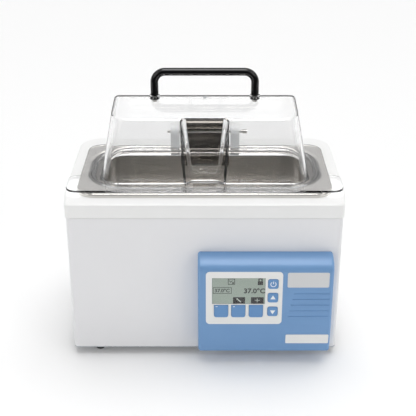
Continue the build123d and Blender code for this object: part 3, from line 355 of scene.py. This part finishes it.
def foot_rubber():
    """Moulded rubber: dull black with pale dust in patches of a few millimetres."""
    finish, tree, shader, place = new_finish("moulded_rubber", "#1C1C1C", 0.75, IOR=1.52)
    dust = noise(tree, place, 3, 4.0)
    link_tint(tree, shader, dust, "#161616", "#2A2A29")
    link_sheen_range(tree, shader, dust, 0.68, 0.85)
    link_relief(tree, shader, dust, 0.03)
    return finish


dress(coated_handle(), "lid_handle")
dress(foot_rubber(), "foot_front_left", "foot_front_right", "foot_rear_left", "foot_rear_right")
print("handle and feet are finished")

# %% [markdown]
# ## The parts inside
# Wool insulation, foam, a silicone heater and circuit boards are hardly ever seen, but each still
# has its own fibres, cells, weave or tracks at the right size.

# %% Foam, wool, silicone and boards
def cell_foam():
    """Closed-cell foam: dark, with cells of about 0.8 mm."""
    finish, tree, shader, place = new_finish("closed_cell_foam", "#2B2B2D", 0.9)
    cells = add_node(tree, "ShaderNodeTexVoronoi", {"Scale": cell(0.8)}, {"Vector": place})
    link_tint(tree, shader, cells.outputs["Distance"], "#1F1F21", "#3A3A3C")
    link_relief(tree, shader, cells.outputs["Distance"], 0.15)
    return finish


def mineral_wool():
    """Mineral wool: matted fibres about 1 mm apart, drawn out level."""
    finish, tree, shader, place = new_finish("mineral_wool", "#CFC7AE", 0.95)
    fibres = noise(tree, squeezed(tree, place, (0.2, 0.2, 1.0)), 1.0, 6.0)
    link_tint(tree, shader, fibres, "#B5AC90", "#E0D9C4")
    link_relief(tree, shader, fibres, 0.4)
    return finish


def silicone_mat():
    """Silicone heater: brick red rubber pressed on glass cloth, whose weave shows 2 mm apart."""
    finish, tree, shader, place = new_finish("silicone_rubber_red", "#B4553A", 0.6)
    three_bands = {"Scale": cell(6.3)}
    weft = add_node(tree, "ShaderNodeTexWave", three_bands, {"Vector": place})
    warp = add_node(tree, "ShaderNodeTexWave", three_bands, {"Vector": place}, bands_direction="Y")
    weave = calculate(tree, "MULTIPLY", weft.outputs["Fac"], warp.outputs["Fac"])
    link_tint(tree, shader, weave, "#A74B33", "#BC5C41")
    link_relief(tree, shader, weave, 0.08)
    return finish


def solder_mask():
    """Circuit board: green solder mask over a mesh of 0.6 mm tracks, 15 by 7.5 mm apart."""
    finish, tree, shader, place = new_finish("solder_mask_green", "#1E6B3C", 0.35, IOR=1.5)
    tracks = add_node(
        tree, "ShaderNodeTexBrick",
        {"Scale": cell(30), "Color1": (1, 1, 1, 1), "Color2": (0.8, 0.8, 0.8, 1),
         "Mortar": (0, 0, 0, 1), "Mortar Size": 0.02},
        {"Vector": place},
    )
    link_tint(tree, shader, tracks.outputs["Color"], "#2F8450", "#1B6337")
    link_relief(tree, shader, tracks.outputs["Fac"], 0.03)
    return finish


dress(cell_foam(), "rim_gasket")
dress(mineral_wool(), "insulation_jacket")
dress(silicone_mat(), "heater_mat")
dress(solder_mask(), "control_board", "power_board")
print("inner parts are finished")

# %% [markdown]
# ## The clear lid
# Polycarbonate is water clear through its 3 mm wall, but a ray that travels along the wall passes
# many centimetres of it, and the faint blue-grey of the plastic adds up. That is why the cut
# edges and folds look dark. A glass shader for the surface and an absorption volume for the
# inside give both. Lamps would be stopped by the glass shader, so for shadow rays a transparent
# shader takes its place, and the tank below stays lit.

# %% Clear plastics
def clear_plastic(name, ior, roughness, tint, density):
    """Clear plastic: sharp reflections, a body that darkens with depth, shadows let through."""
    finish, tree, shader, place = new_finish(
        name, "#FFFFFF", roughness, IOR=ior, Transmission_Weight=1.0
    )
    link_relief(tree, shader, noise(tree, place, 30, 2.0), 0.02, strength=0.3)
    output = tree.nodes["Material Output"]
    rays = add_node(tree, "ShaderNodeLightPath")
    through = add_node(tree, "ShaderNodeBsdfTransparent", {"Color": srgb("#F4F6F8")})
    surface = mix_shaders(
        tree, rays.outputs["Is Shadow Ray"], shader.outputs["BSDF"], through.outputs["BSDF"]
    )
    body = add_node(tree, "ShaderNodeVolumeAbsorption", {"Color": srgb(tint), "Density": density})
    tree.links.new(surface, output.inputs["Surface"])
    tree.links.new(body.outputs["Volume"], output.inputs["Volume"])
    return finish


lid_clear = clear_plastic(
    "clear_polycarbonate", ior=1.585, roughness=0.01, tint="#96A2B4", density=4.0
)
dress(lid_clear, "lid")
print("lid is finished")

# %% [markdown]
# ## Helpers for new pieces
# Every new piece starts as a primitive, is shaped with operators, and is then settled: its place
# is applied into its mesh, so the object itself stays at the origin, and it is tied to the body
# it moves with.

# %% Making, joining and settling pieces
def pick_only(*pieces):
    """Selects these objects alone and makes the first one active."""
    bpy.ops.object.select_all(action="DESELECT")
    for piece in pieces:
        piece.select_set(True)
    bpy.context.view_layer.objects.active = pieces[0]


def fix_place(piece):
    """Applies place, turn and size into the mesh."""
    pick_only(piece)
    bpy.ops.object.transform_apply(location=True, rotation=True, scale=True)
    return piece


def finish_modifier(piece, kind, **settings):
    """Adds a modifier, sets it and applies it."""
    modifier = piece.modifiers.new(kind.title(), kind)
    for name, value in settings.items():
        setattr(modifier, name, value)
    pick_only(piece)
    bpy.ops.object.modifier_apply(modifier=modifier.name)
    return piece


def join_pieces(pieces):
    """Joins pieces into the first of them."""
    pick_only(*pieces)
    if len(pieces) > 1:
        bpy.ops.object.join()
    return bpy.context.view_layer.objects.active


def face_outward(piece):
    """Turns every face of a closed piece outward."""
    pick_only(piece)
    bpy.ops.object.mode_set(mode="EDIT")
    bpy.ops.mesh.select_all(action="SELECT")
    bpy.ops.mesh.normals_make_consistent(inside=False)
    bpy.ops.object.mode_set(mode="OBJECT")
    return piece


def settle(piece, name, body, finish):
    """Names a finished piece, gives it its finish and ties it to its body."""
    fix_place(piece)
    piece.name = name
    piece.data.name = name
    piece.data.materials.clear()
    piece.data.materials.append(finish)
    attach(piece, body)
    print(name, "has", len(piece.data.polygons), "faces and rides on", body)
    return piece


def block(centre, size):
    """A box with its middle at centre."""
    bpy.ops.object.select_all(action="DESELECT")
    bpy.ops.mesh.primitive_cube_add(size=1, location=centre, scale=size)
    return fix_place(bpy.context.object)


def upright_prism(centre, radius, depth, sides):
    """A flat prism whose outline faces the front."""
    bpy.ops.object.select_all(action="DESELECT")
    bpy.ops.mesh.primitive_cylinder_add(
        vertices=sides, radius=radius, depth=depth, location=centre,
        rotation=(math.radians(90), 0, 0),
    )
    return fix_place(bpy.context.object)


# %% [markdown]
# ## The lid, a hair above the steel
# A clear wall that lies flat on steel is a puzzle for a renderer: two faces at one place, and no
# telling which comes first. On the real lid there is a film of air. So the lid shown is a copy of
# the CAD lid, lifted by that film. It keeps the CAD model's own normals, so flat panes stay flat
# and the fillets look round. It drops the marks that make the original a CAD node.

# %% Copy the lid and lift it
air_film = 0.05 * MM
lid_skin = nodes["lid"].copy()
lid_skin.data = nodes["lid"].data.copy()
bpy.context.collection.objects.link(lid_skin)
for key in list(lid_skin.keys()):
    del lid_skin[key]
lid_skin.parent = None
lid_skin.location.z = air_film
settle(lid_skin, "lid_skin", "lid", lid_clear)
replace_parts(lid_skin, "lid")

# %% [markdown]
# ## Where the plastic came in
# A moulded lid keeps a small dull disc where it was parted from its sprue. This one lies on the
# front slope of the roof, close under the middle of the ridge and a tenth of a millimetre proud.
# The ridge is 323 mm above the bench, and the roof falls by 17.5 mm over a reach of 45.3 mm.

# %% Sprue mark on the roof
sprue_radius = 2.4 * MM
sprue_depth = 0.8 * MM
sprue_proud = 0.1 * MM
sprue_edge = 0.1 * MM
sprue_run = 4.0 * MM
ridge_line = 323.0 * MM
roof_rise, roof_reach = 17.5, 45.3
roof_slope = math.atan2(roof_rise, roof_reach)
grip_low, grip_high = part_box("lid_handle")
across_roof = Vector((0, -math.sin(roof_slope), math.cos(roof_slope)))
sprue_y = (grip_low.y + grip_high.y) / 2 - sprue_run
on_roof = Vector((0, sprue_y, ridge_line - sprue_run * math.tan(roof_slope)))
bpy.ops.object.select_all(action="DESELECT")
bpy.ops.mesh.primitive_cylinder_add(
    vertices=32, radius=sprue_radius, depth=sprue_depth, rotation=(roof_slope, 0, 0),
    location=on_roof + across_roof * (sprue_proud - sprue_depth / 2),
)
sprue_mark = fix_place(bpy.context.object)
finish_modifier(sprue_mark, "BEVEL", width=sprue_edge, segments=2)
frosted = satin_moulding("frosted_polycarbonate", "#C2C4C7", "#CBCDD0", 0.5)
settle(sprue_mark, "sprue_mark", "lid", frosted)

# %% [markdown]
# ## The display
# Behind the clear window lies a grey-green liquid crystal cell: dark characters stand on a field
# that is ruled into dots a third of a millimetre apart. The field is one thin sheet that also
# covers the ledge round the cell. The window is set just clear of it, as glass on a spacer is,
# so the two faces never coincide. The window has an anti-glare coat, which nearly halves
# what it mirrors. A low index of refraction stands for that coat.

# %% Display field and ink finishes
def crystal_field():
    """Liquid crystal field: grey-green, with the dot grid of 0.35 mm just visible."""
    finish, tree, shader, place = new_finish("liquid_crystal_field", "#9DAA9F", 0.30, IOR=1.5)
    dots = add_node(
        tree, "ShaderNodeTexBrick",
        {"Scale": cell(0.35), "Brick Width": 1.0, "Row Height": 1.0, "Mortar Size": 0.08,
         "Color1": (1, 1, 1, 1), "Color2": (1, 1, 1, 1), "Mortar": (0, 0, 0, 1)},
        offset=0.0,
    )
    upright = {"Rotation": (math.radians(-90), 0, 0)}
    lifted = add_node(tree, "ShaderNodeMapping", upright, {"Vector": place})
    tree.links.new(lifted.outputs["Vector"], dots.inputs["Vector"])
    link_tint(tree, shader, dots.outputs["Color"], "#94A196", "#A2AFA4")
    return finish


def printed_ink(name, dark, light):
    """Screen-printed ink: flat colour, slightly uneven over half a millimetre."""
    finish, tree, shader, place = new_finish(name, light, 0.5, IOR=1.5)
    link_tint(tree, shader, noise(tree, place, 0.5, 1.0), dark, light)
    return finish


field_finish = crystal_field()
dark_ink = printed_ink("crystal_black", "#0C0E10", "#141618")
faint_ink = printed_ink("crystal_grey", "#2C3430", "#38403B")
pale_ink = printed_ink("crystal_pale", "#C4CCC4", "#CFD6CE")
white_ink = printed_ink("print_white", "#EEF1F4", "#F7F9FA")
dress(field_finish, "display_module")
print("inks are mixed")

# %% Field and window
window_low, window_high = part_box("display_window")
window_mid = (window_low + window_high) / 2
ledge_y = window_high.y
field_thickness = 0.10 * MM
ink_thickness = 0.06 * MM
spacer = 0.12 * MM
fit_play = 0.2 * MM
pane_edge = 0.15 * MM
field_y = ledge_y - field_thickness
window_width = window_high.x - window_low.x
window_height = window_high.z - window_low.z

field = block(
    (window_mid.x, ledge_y - field_thickness / 2, window_mid.z),
    (window_width - fit_play, field_thickness, window_height - fit_play),
)
settle(field, "display_field", "bath", field_finish)
pane_back = field_y - ink_thickness - spacer
pane = block(
    (window_mid.x, (window_low.y + pane_back) / 2, window_mid.z),
    (window_width - fit_play, pane_back - window_low.y, window_height - fit_play),
)
finish_modifier(pane, "BEVEL", width=pane_edge, segments=2)
coated_acrylic = clear_plastic(
    "clear_acrylic", ior=1.36, roughness=0.01, tint="#B8C8C0", density=4.0
)
settle(pane, "display_pane", "bath", coated_acrylic)
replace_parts(pane, "display_window")

# %% [markdown]
# ## Helpers for characters
# Places on the panel are given as on the drawing of a front panel: millimetres to the right of
# the middle and down from the deck. Digits start as a text object, which is turned upright, made
# a mesh and stretched to the width that they have on the real display. Frames and symbols are
# thin bars.

# %% Panel places, words and bars
deck_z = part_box("top_cover")[1].z


def on_panel(x, drop, y):
    """Point of the panel at x to the right of the middle and drop below the deck, both in mm."""
    return Vector((x * MM, y, deck_z - drop * MM))


def word(text, x, drop, width, height, y, stroke_gain):
    """Text as a flat mesh that faces the front, fitted to a width and height in mm."""
    bpy.ops.object.select_all(action="DESELECT")
    bpy.ops.object.text_add(rotation=(math.radians(90), 0, 0))
    letters = bpy.context.object
    letters.data.body = text
    letters.data.align_x = "CENTER"
    letters.data.align_y = "CENTER"
    letters.data.extrude = ink_thickness / 2
    letters.data.offset = stroke_gain
    letters.data.resolution_u = 3
    bpy.ops.object.convert(target="MESH")
    letters = fix_place(bpy.context.object)
    corners = [Vector(c) for c in letters.bound_box]
    low = Vector([min(c[i] for c in corners) for i in range(3)])
    high = Vector([max(c[i] for c in corners) for i in range(3)])
    middle = (low + high) / 2
    size = (width * MM / (high.x - low.x), 1, height * MM / (high.z - low.z))
    letters.scale = size
    letters.location = on_panel(x, drop, y) - Vector([middle[i] * size[i] for i in range(3)])
    return fix_place(letters)


def bar(x, drop, width, height, y, turn=0.0):
    """A flat bar in mm, turned in the plane of the panel by an angle in degrees."""
    bpy.ops.object.select_all(action="DESELECT")
    bpy.ops.mesh.primitive_cube_add(
        size=1,
        location=on_panel(x, drop, y),
        rotation=(0, math.radians(turn), 0),
        scale=(width * MM, ink_thickness, height * MM),
    )
    return fix_place(bpy.context.object)


def frame_bars(x, drop, width, height, line, y):
    """A rectangular outline made of four bars."""
    return [
        bar(x, drop - (height - line) / 2, width, line, y),
        bar(x, drop + (height - line) / 2, width, line, y),
        bar(x - (width - line) / 2, drop, line, height - 2 * line, y),
        bar(x + (width - line) / 2, drop, line, height - 2 * line, y),
    ]


# %% [markdown]
# ## What the display shows
# The temperature reached, a padlock and two dark labels over the soft keys are full black. The
# temperature asked for, in its frame, and a small chart are drawn fainter. The tool and the arrow
# on the labels are the only pale characters, and lie on top of the black. The numbers of each
# word and bar are its place to the right and down, then its width and height.

# %% Readings and symbols of the display
character_y = field_y - ink_thickness / 2
over_label_y = character_y - ink_thickness
reading = word("37.0°C", 62.4, 107.6, 26.6, 7.6, character_y, stroke_gain=0.028)
padlock = [
    bar(69.5, 96.6, 6.6, 5.4, character_y),
    bar(67.6, 92.4, 1.5, 3.6, character_y),
    bar(71.4, 92.4, 1.5, 3.6, character_y),
    bar(69.5, 90.6, 5.3, 1.4, character_y),
]
soft_labels = [bar(43.2, 121.5, 15.2, 9.2, character_y), bar(66.1, 121.5, 15.9, 9.2, character_y)]
readings = join_pieces([reading] + padlock + soft_labels)
settle(readings, "display_readings", "bath", dark_ink)

set_value = word("37.0°C", 22.0, 107.2, 18.6, 5.4, character_y, stroke_gain=0.03)
set_frame = frame_bars(22.0, 107.2, 23.4, 9.0, line=0.7, y=character_y)
chart_frame = frame_bars(33.4, 94.6, 8.8, 8.4, line=0.8, y=character_y)
chart_line = [
    bar(31.6, 94.2, 3.4, 0.8, character_y, turn=50),
    bar(33.6, 94.0, 3.0, 0.8, character_y, turn=-40),
    bar(35.4, 96.4, 2.2, 2.2, character_y),
]
settings_shown = join_pieces([set_value] + set_frame + chart_frame + chart_line)
settle(settings_shown, "display_settings", "bath", faint_ink)

tool_symbol = [
    bar(43.0, 121.4, 7.0, 1.2, over_label_y, turn=42),
    bar(40.8, 119.4, 1.9, 1.9, over_label_y, turn=42),
]
arrow_symbol = [
    bar(66.1, 121.4, 2.6, 2.6, over_label_y, turn=45),
    bar(66.1, 121.4, 6.2, 0.8, over_label_y),
    bar(66.1, 121.4, 0.8, 5.2, over_label_y),
]
label_signs = join_pieces(tool_symbol + arrow_symbol)
settle(label_signs, "display_label_signs", "bath", pale_ink)

# %% [markdown]
# ## Signs on the keys
# Each sign is white ink on a cap that moves, so it is a piece of its own that rides on its key.
# A quarter of the ink is sunk into the cap. The power sign is a bar in a broken ring, and the
# ring is a small rectangle spun round the middle of the key. The arrows are three-sided prisms.
# Two of the soft keys get a short white bar in the upper left corner, in the white of the signs.

# %% Faces of the keys, and a ring
def key_face(name):
    """Middle of a key's front face, with ink lying on it."""
    low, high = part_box(name)
    return Vector(((low.x + high.x) / 2, low.y - ink_thickness / 4, (low.z + high.z) / 2))


def spun_ring(centre, radius, line, gap_degrees):
    """A flat ring, open at the top: a small upright rectangle spun round the middle."""
    gap = math.radians(gap_degrees)
    same_place = 0.001 * MM
    bpy.ops.object.select_all(action="DESELECT")
    bpy.ops.mesh.primitive_plane_add(
        size=1, location=(0, 0, radius), rotation=(0, math.radians(90), 0)
    )
    ring = bpy.context.object
    ring.scale = (line, ink_thickness, 1)
    fix_place(ring)
    bpy.ops.object.mode_set(mode="EDIT")
    bpy.ops.mesh.select_all(action="SELECT")
    bpy.ops.mesh.spin(
        steps=28, angle=2 * math.pi - gap, center=(0, 0, 0), axis=(0, 1, 0), use_auto_merge=False
    )
    bpy.ops.mesh.select_all(action="SELECT")
    bpy.ops.mesh.remove_doubles(threshold=same_place)
    bpy.ops.object.mode_set(mode="OBJECT")
    face_outward(ring)
    ring.rotation_euler = (0, -gap / 2, 0)
    ring.location = centre
    return fix_place(ring)


# %% Power sign, arrows and dashes
sign_line = 0.9 * MM
ring_radius = 3.3 * MM
ring_gap = 70
power_bar_height = 3.8 * MM
power_bar_rise = 2.1 * MM
arrow_radius = 3.8 * MM
dash_width, dash_height = 2.6 * MM, 0.8 * MM
dash_shift = Vector((-5.6 * MM, 0, 7.0 * MM))

power_at = key_face("power_key")
power_bar = block(
    power_at + Vector((0, 0, power_bar_rise)), (sign_line, ink_thickness, power_bar_height)
)
power_sign = join_pieces([spun_ring(power_at, ring_radius, sign_line, ring_gap), power_bar])
settle(power_sign, "power_sign", "power_key", white_ink)

for key_name, points_down in (("up_key", False), ("down_key", True)):
    centre = key_face(key_name)
    arrow = upright_prism(centre, arrow_radius, ink_thickness, 3)
    if points_down:
        arrow.scale = (1, 1, -1)
        arrow.location = (0, 0, 2 * centre.z)
        face_outward(fix_place(arrow))
    settle(arrow, key_name.replace("key", "sign"), key_name, white_ink)

# A short white bar at the upper left of the left and middle soft keys.
for key_name in ("soft_key_left", "soft_key_middle"):
    dash = block(key_face(key_name) + dash_shift, (dash_width, ink_thickness, dash_height))
    settle(dash, key_name.replace("key", "dash"), key_name, white_ink)

# %% [markdown]
# ## Screws
# A pan-head screw is a low cylinder with a rounded rim and a cross driven into it. One head is
# modelled, its rim bevelled and its cross cut out by a boolean, and then copied to every place.
# The two arms of the cross are cut one after the other, because a cutter that crosses itself
# isn't a solid. From the sides, the rear and through the lid these heads are the smallest things
# that tell steel fasteners from moulded pimples.

# %% One cross-head screw
smooth_angle = math.radians(35)


def cross_screw(radius, height, shank_radius, shank):
    """A screw whose head stands on the XY plane and whose shank hangs below it."""
    upper_half = 0.4 * height
    rim_round = 0.45 * height
    arm_length, arm_width, arm_depth = 1.1 * radius, 0.24 * radius, 0.9 * height
    weld_overlap = 0.1 * MM
    bpy.ops.object.select_all(action="DESELECT")
    bpy.ops.mesh.primitive_cylinder_add(
        vertices=32, radius=radius, depth=height, location=(0, 0, height / 2)
    )
    head = bpy.context.object
    bpy.ops.object.mode_set(mode="EDIT")
    bpy.ops.mesh.select_all(action="DESELECT")
    bpy.ops.object.mode_set(mode="OBJECT")
    for edge in head.data.edges:
        edge.select = all(head.data.vertices[v].co.z > upper_half for v in edge.vertices)
    bpy.ops.object.mode_set(mode="EDIT")
    bpy.ops.mesh.bevel(offset=rim_round, segments=4, affect="EDGES")
    bpy.ops.object.mode_set(mode="OBJECT")
    fix_place(head)
    for arm in ((arm_length, arm_width, arm_depth), (arm_width, arm_length, arm_depth)):
        cutter = block((0, 0, height), arm)
        finish_modifier(head, "BOOLEAN", object=cutter, operation="DIFFERENCE", solver="EXACT")
        bpy.data.objects.remove(cutter, do_unlink=True)
    print("screw head has", len(head.data.polygons), "faces")
    bpy.ops.mesh.primitive_cylinder_add(
        vertices=20, radius=shank_radius, depth=shank, location=(0, 0, weld_overlap - shank / 2)
    )
    stem = bpy.context.object
    screw = join_pieces([head, fix_place(stem)])
    bpy.ops.object.shade_smooth_by_angle(angle=smooth_angle)
    return screw


# %% Copies of a screw
def set_screw(model, place, direction):
    """A copy of the model screw at place, with its head looking along direction."""
    copy = model.copy()
    copy.data = model.data.copy()
    bpy.context.collection.objects.link(copy)
    copy.location = place
    copy.rotation_euler = Vector(direction).to_track_quat("Z", "Y").to_euler()
    return fix_place(copy)


def set_screws(model, places, name, body):
    """Copies the model to every (place, direction) and settles them as one piece."""
    screws = join_pieces([set_screw(model, place, direction) for place, direction in places])
    pick_only(screws)
    bpy.ops.object.shade_smooth_by_angle(angle=smooth_angle)
    bpy.data.objects.remove(model, do_unlink=True)
    return settle(screws, name, body, screw_steel)


# %% [markdown]
# ## Where the screws go
# Their places come from the boxes of the CAD screws that they replace: a box reaches from the
# outermost head to the opposite one, so a head's own size leads from its edge to the middle of a
# screw. Such a box says nothing about screws between its ends, so the case has theirs as on its
# drawing. The inlet keeps its CAD screws too, because their nuts sit inside the case.

# %% Screws round the foot of the case
case_low, case_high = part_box("case_screws")
case_head_height = 1.2 * MM
case_screw_z = (case_low.z + case_high.z) / 2
side_screws_y = (-30 * MM, 60 * MM)
rear_screws_x = (-110 * MM, 0.0, 110 * MM)
case_places = []
for screw_y in side_screws_y:
    case_places.append(((case_low.x + case_head_height, screw_y, case_screw_z), (-1, 0, 0)))
    case_places.append(((case_high.x - case_head_height, screw_y, case_screw_z), (1, 0, 0)))
for screw_x in rear_screws_x:
    case_places.append(((screw_x, case_high.y - case_head_height, case_screw_z), (0, 1, 0)))
case_model = cross_screw(3.0 * MM, case_head_height, shank_radius=1.45 * MM, shank=6 * MM)
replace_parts(set_screws(case_model, case_places, "case_cross_screws", "bath"), "case_screws")

# %% Screws of the feet, the handle and the inlet
foot_low, foot_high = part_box("foot_screws")
foot_head_height = 2.4 * MM
foot_head_radius = 3.6 * MM
foot_places = [
    ((x, y, foot_low.z + foot_head_height), (0, 0, -1))
    for x in (foot_low.x + foot_head_radius, foot_high.x - foot_head_radius)
    for y in (foot_low.y + foot_head_radius, foot_high.y - foot_head_radius)
]
foot_model = cross_screw(
    foot_head_radius, foot_head_height, shank_radius=1.95 * MM, shank=8 * MM
)
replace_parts(set_screws(foot_model, foot_places, "foot_cross_screws", "bath"), "foot_screws")

handle_low, handle_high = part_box("handle_screws")
handle_head_height = 3.0 * MM
handle_head_radius = 3.4 * MM
handle_y = (handle_low.y + handle_high.y) / 2
handle_places = [
    ((x, handle_y, handle_low.z + handle_head_height), (0, 0, -1))
    for x in (handle_low.x + handle_head_radius, handle_high.x - handle_head_radius)
]
handle_model = cross_screw(
    handle_head_radius, handle_head_height, shank_radius=1.95 * MM, shank=18 * MM
)
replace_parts(set_screws(handle_model, handle_places, "handle_cross_screws", "lid"), "handle_screws")

inlet_low, inlet_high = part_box("inlet_screws")
inlet_z = (inlet_low.z + inlet_high.z) / 2
nut_radius = 3.0 * MM
inlet_head_height = 1.1 * MM
inlet_places = [
    ((x, case_high.y - inlet_head_height, inlet_z), (0, 1, 0))
    for x in (inlet_low.x + nut_radius, inlet_high.x - nut_radius)
]
inlet_model = cross_screw(2.6 * MM, inlet_head_height, shank_radius=1.2 * MM, shank=4 * MM)
set_screws(inlet_model, inlet_places, "inlet_cross_screws", "bath")
dress(screw_steel, "inlet_screws")

# %% [markdown]
# ## Studio floor
# White paper, wide enough to fill the picture from every side, keeps the shadow. To the camera,
# and to rays that came by mirror or through glass, it also glows a little, while the object gets
# no light from that glow. For mirrored rays alone the paper ends in front of the object, and the
# hall beyond it is dark: that gives black gloss and polished steel something dark to show. The
# count of reflections tells such rays, because one that clear plastic has refracted also passes
# as glossy.

# %% Kinds of rays
def shown_rays(tree):
    """1 for camera rays and for rays that came off gloss or through glass, otherwise 0."""
    rays = add_node(tree, "ShaderNodeLightPath").outputs
    seen_directly = calculate(tree, "MAXIMUM", rays["Is Camera Ray"], rays["Is Glossy Ray"])
    return calculate(tree, "MAXIMUM", seen_directly, rays["Is Transmission Ray"])


def mirrored_rays(tree):
    """1 for rays that have been reflected at least once since the camera, otherwise 0."""
    bounces = add_node(tree, "ShaderNodeLightPath").outputs["Glossy Depth"]
    return calculate(tree, "MINIMUM", bounces, 1.0)


# %% Floor
floor_size = 60.0
floor_glow = 0.08
paper_front = 0.5
paper_fade = 1.3
hall_light = 0.04
white = (1, 1, 1, 1)


def studio_floor():
    """White paper that keeps the shadow, and a dark hall in front of it for mirrored rays."""
    finish, tree, shader, place = new_finish("studio_floor_white", "#FDFDFD", 0.9)
    glow = add_node(tree, "ShaderNodeEmission", {"Color": white, "Strength": 1.0})
    share = calculate(tree, "MULTIPLY", shown_rays(tree), floor_glow)
    paper = mix_shaders(tree, share, shader.outputs["BSDF"], glow.outputs["Emission"])
    reach = add_node(tree, "ShaderNodeSeparateXYZ", links={"Vector": place})
    beyond = add_node(
        tree, "ShaderNodeMapRange",
        {"From Min": -paper_front, "From Max": -paper_fade * paper_front},
        {"Value": reach.outputs["Y"]},
    )
    dark_part = calculate(tree, "MULTIPLY", beyond.outputs["Result"], mirrored_rays(tree))
    hall = add_node(tree, "ShaderNodeEmission", {"Color": white, "Strength": hall_light})
    surface = mix_shaders(tree, dark_part, paper, hall.outputs["Emission"])
    tree.links.new(surface, tree.nodes["Material Output"].inputs["Surface"])
    return finish


bpy.ops.object.select_all(action="DESELECT")
bpy.ops.mesh.primitive_plane_add(size=floor_size)
floor = bpy.context.object
floor.name = "studio_floor"
floor.data.materials.append(studio_floor())
print("floor of", floor_size, "m, paper ends", paper_front, "m in front of the middle")

# %% [markdown]
# ## Room
# The room is white to the camera and lights the object evenly at less than half that strength.
# Mirrored rays see it in tones that depend on their direction: dark in front at eye level, where
# the camera stands, half bright behind, white well above, and dimmer right overhead. These tones
# shape the bent steel and keep the roof of the lid from washing out.

# %% World
room_light = 0.42
forward_weight = 0.8
least_open, most_open = -0.3, 1.1
wall_tones = (
    (0.001, 0.03), (0.12, 0.06), (0.21, 0.50), (0.55, 0.70), (0.72, 1.0), (0.85, 0.20),
    (0.999, 0.40),
)

world = bpy.data.worlds.new("studio_room")
world.use_nodes = True
bpy.context.scene.world = world
room = world.node_tree
shown = shown_rays(room)
room_strength = add_node(
    room, "ShaderNodeMapRange", {"To Min": room_light, "To Max": 1.0}, {"Value": shown}
)
heading = add_node(
    room, "ShaderNodeSeparateXYZ",
    links={"Vector": add_node(room, "ShaderNodeTexCoord").outputs["Generated"]},
)
forward = calculate(room, "MINIMUM", heading.outputs["Y"], 0.0)
openness = calculate(room, "MULTIPLY_ADD", forward, forward_weight, heading.outputs["Z"])
around = add_node(
    room, "ShaderNodeMapRange", {"From Min": least_open, "From Max": most_open},
    {"Value": openness},
)
walls = add_node(room, "ShaderNodeValToRGB", links={"Fac": around.outputs["Result"]})
for position, grey in wall_tones:
    stop = walls.color_ramp.elements.new(position)
    stop.color = (grey, grey, grey, 1.0)
for own_stop in (0, -1):
    walls.color_ramp.elements.remove(walls.color_ramp.elements[own_stop])
seen = add_node(
    room, "ShaderNodeMix", None,
    {"Factor": calculate(room, "MULTIPLY", mirrored_rays(room), shown),
     "A": room_strength.outputs["Result"], "B": walls.outputs["Color"]},
)
room.links.new(seen.outputs["Result"], room.nodes["Background"].inputs["Strength"])
room.nodes["Background"].inputs["Color"].default_value = white
print("room light", room_light, "with", len(wall_tones), "tones for mirrored rays")


# %% [markdown]
# ## Lamps
# A broad light from overhead, a little behind, gives the deck its brightness and lets the shadow
# fall forward under the control unit. It isn't seen by gloss. Soft boxes from the right and the
# left fill the front, which stays a shade darker than the deck. A box high above gives no diffuse
# light and is there for the glint it draws on clear and black gloss.

# %% Lamps
def soft_box(name, place, target, size, watts):
    """A square area lamp that looks at target."""
    bpy.ops.object.light_add(type="AREA", location=place)
    lamp = bpy.context.object
    lamp.name = name
    lamp.data.shape = "SQUARE"
    lamp.data.size = size
    lamp.data.energy = watts
    lamp.rotation_euler = (Vector(place) - Vector(target)).to_track_quat("Z", "Y").to_euler()
    return lamp


def broad_light(name, tilt, turn, spread, strength):
    """An even light from far overhead, tilted from upright; spread is its width as an angle."""
    bpy.ops.object.light_add(type="SUN", location=(0, 0, 3))
    lamp = bpy.context.object
    lamp.name = name
    lamp.data.angle = math.radians(spread)
    lamp.data.energy = strength
    lamp.rotation_euler = (math.radians(tilt), math.radians(turn), 0)
    lamp.visible_glossy = False
    return lamp


middle_height = (cad_box[0][2] + cad_box[1][2]) / 2
target = (0.0, 0.0, middle_height)
broad_light("overhead_light", tilt=-14, turn=6, spread=60, strength=1.80)
soft_box("right_box", (1.5, -1.3, 1.2), target, size=1.0, watts=4.8)
soft_box("left_box", (-1.5, -1.3, 1.0), target, size=1.0, watts=4.5)
glint_box = soft_box("glint_box", (0.0, -0.35, 2.3), target, size=1.2, watts=24.0)
glint_box.visible_diffuse = False
print("lamps look at", [round(v, 3) for v in target])

# %% [markdown]
# ## Camera
# The photograph looks down at the front by about 25 degrees. Lines that run back into the
# picture meet far above it, which gave the distance and a lens of about 81 mm on a 36 mm sensor.

# %% Camera at the photograph's place
camera_place = Vector((4.2, -1136.0, 699.5)) * MM
camera_pitch = 25.2
lens = 80.6
bpy.ops.object.camera_add(location=camera_place, rotation=(math.radians(90 - camera_pitch), 0, 0))
camera = bpy.context.object
camera.data.lens = lens
camera.data.sensor_width = 36.0
bpy.context.scene.camera = camera
bpy.context.scene.view_settings.view_transform = "Standard"
print("camera at", [round(v, 4) for v in camera_place])
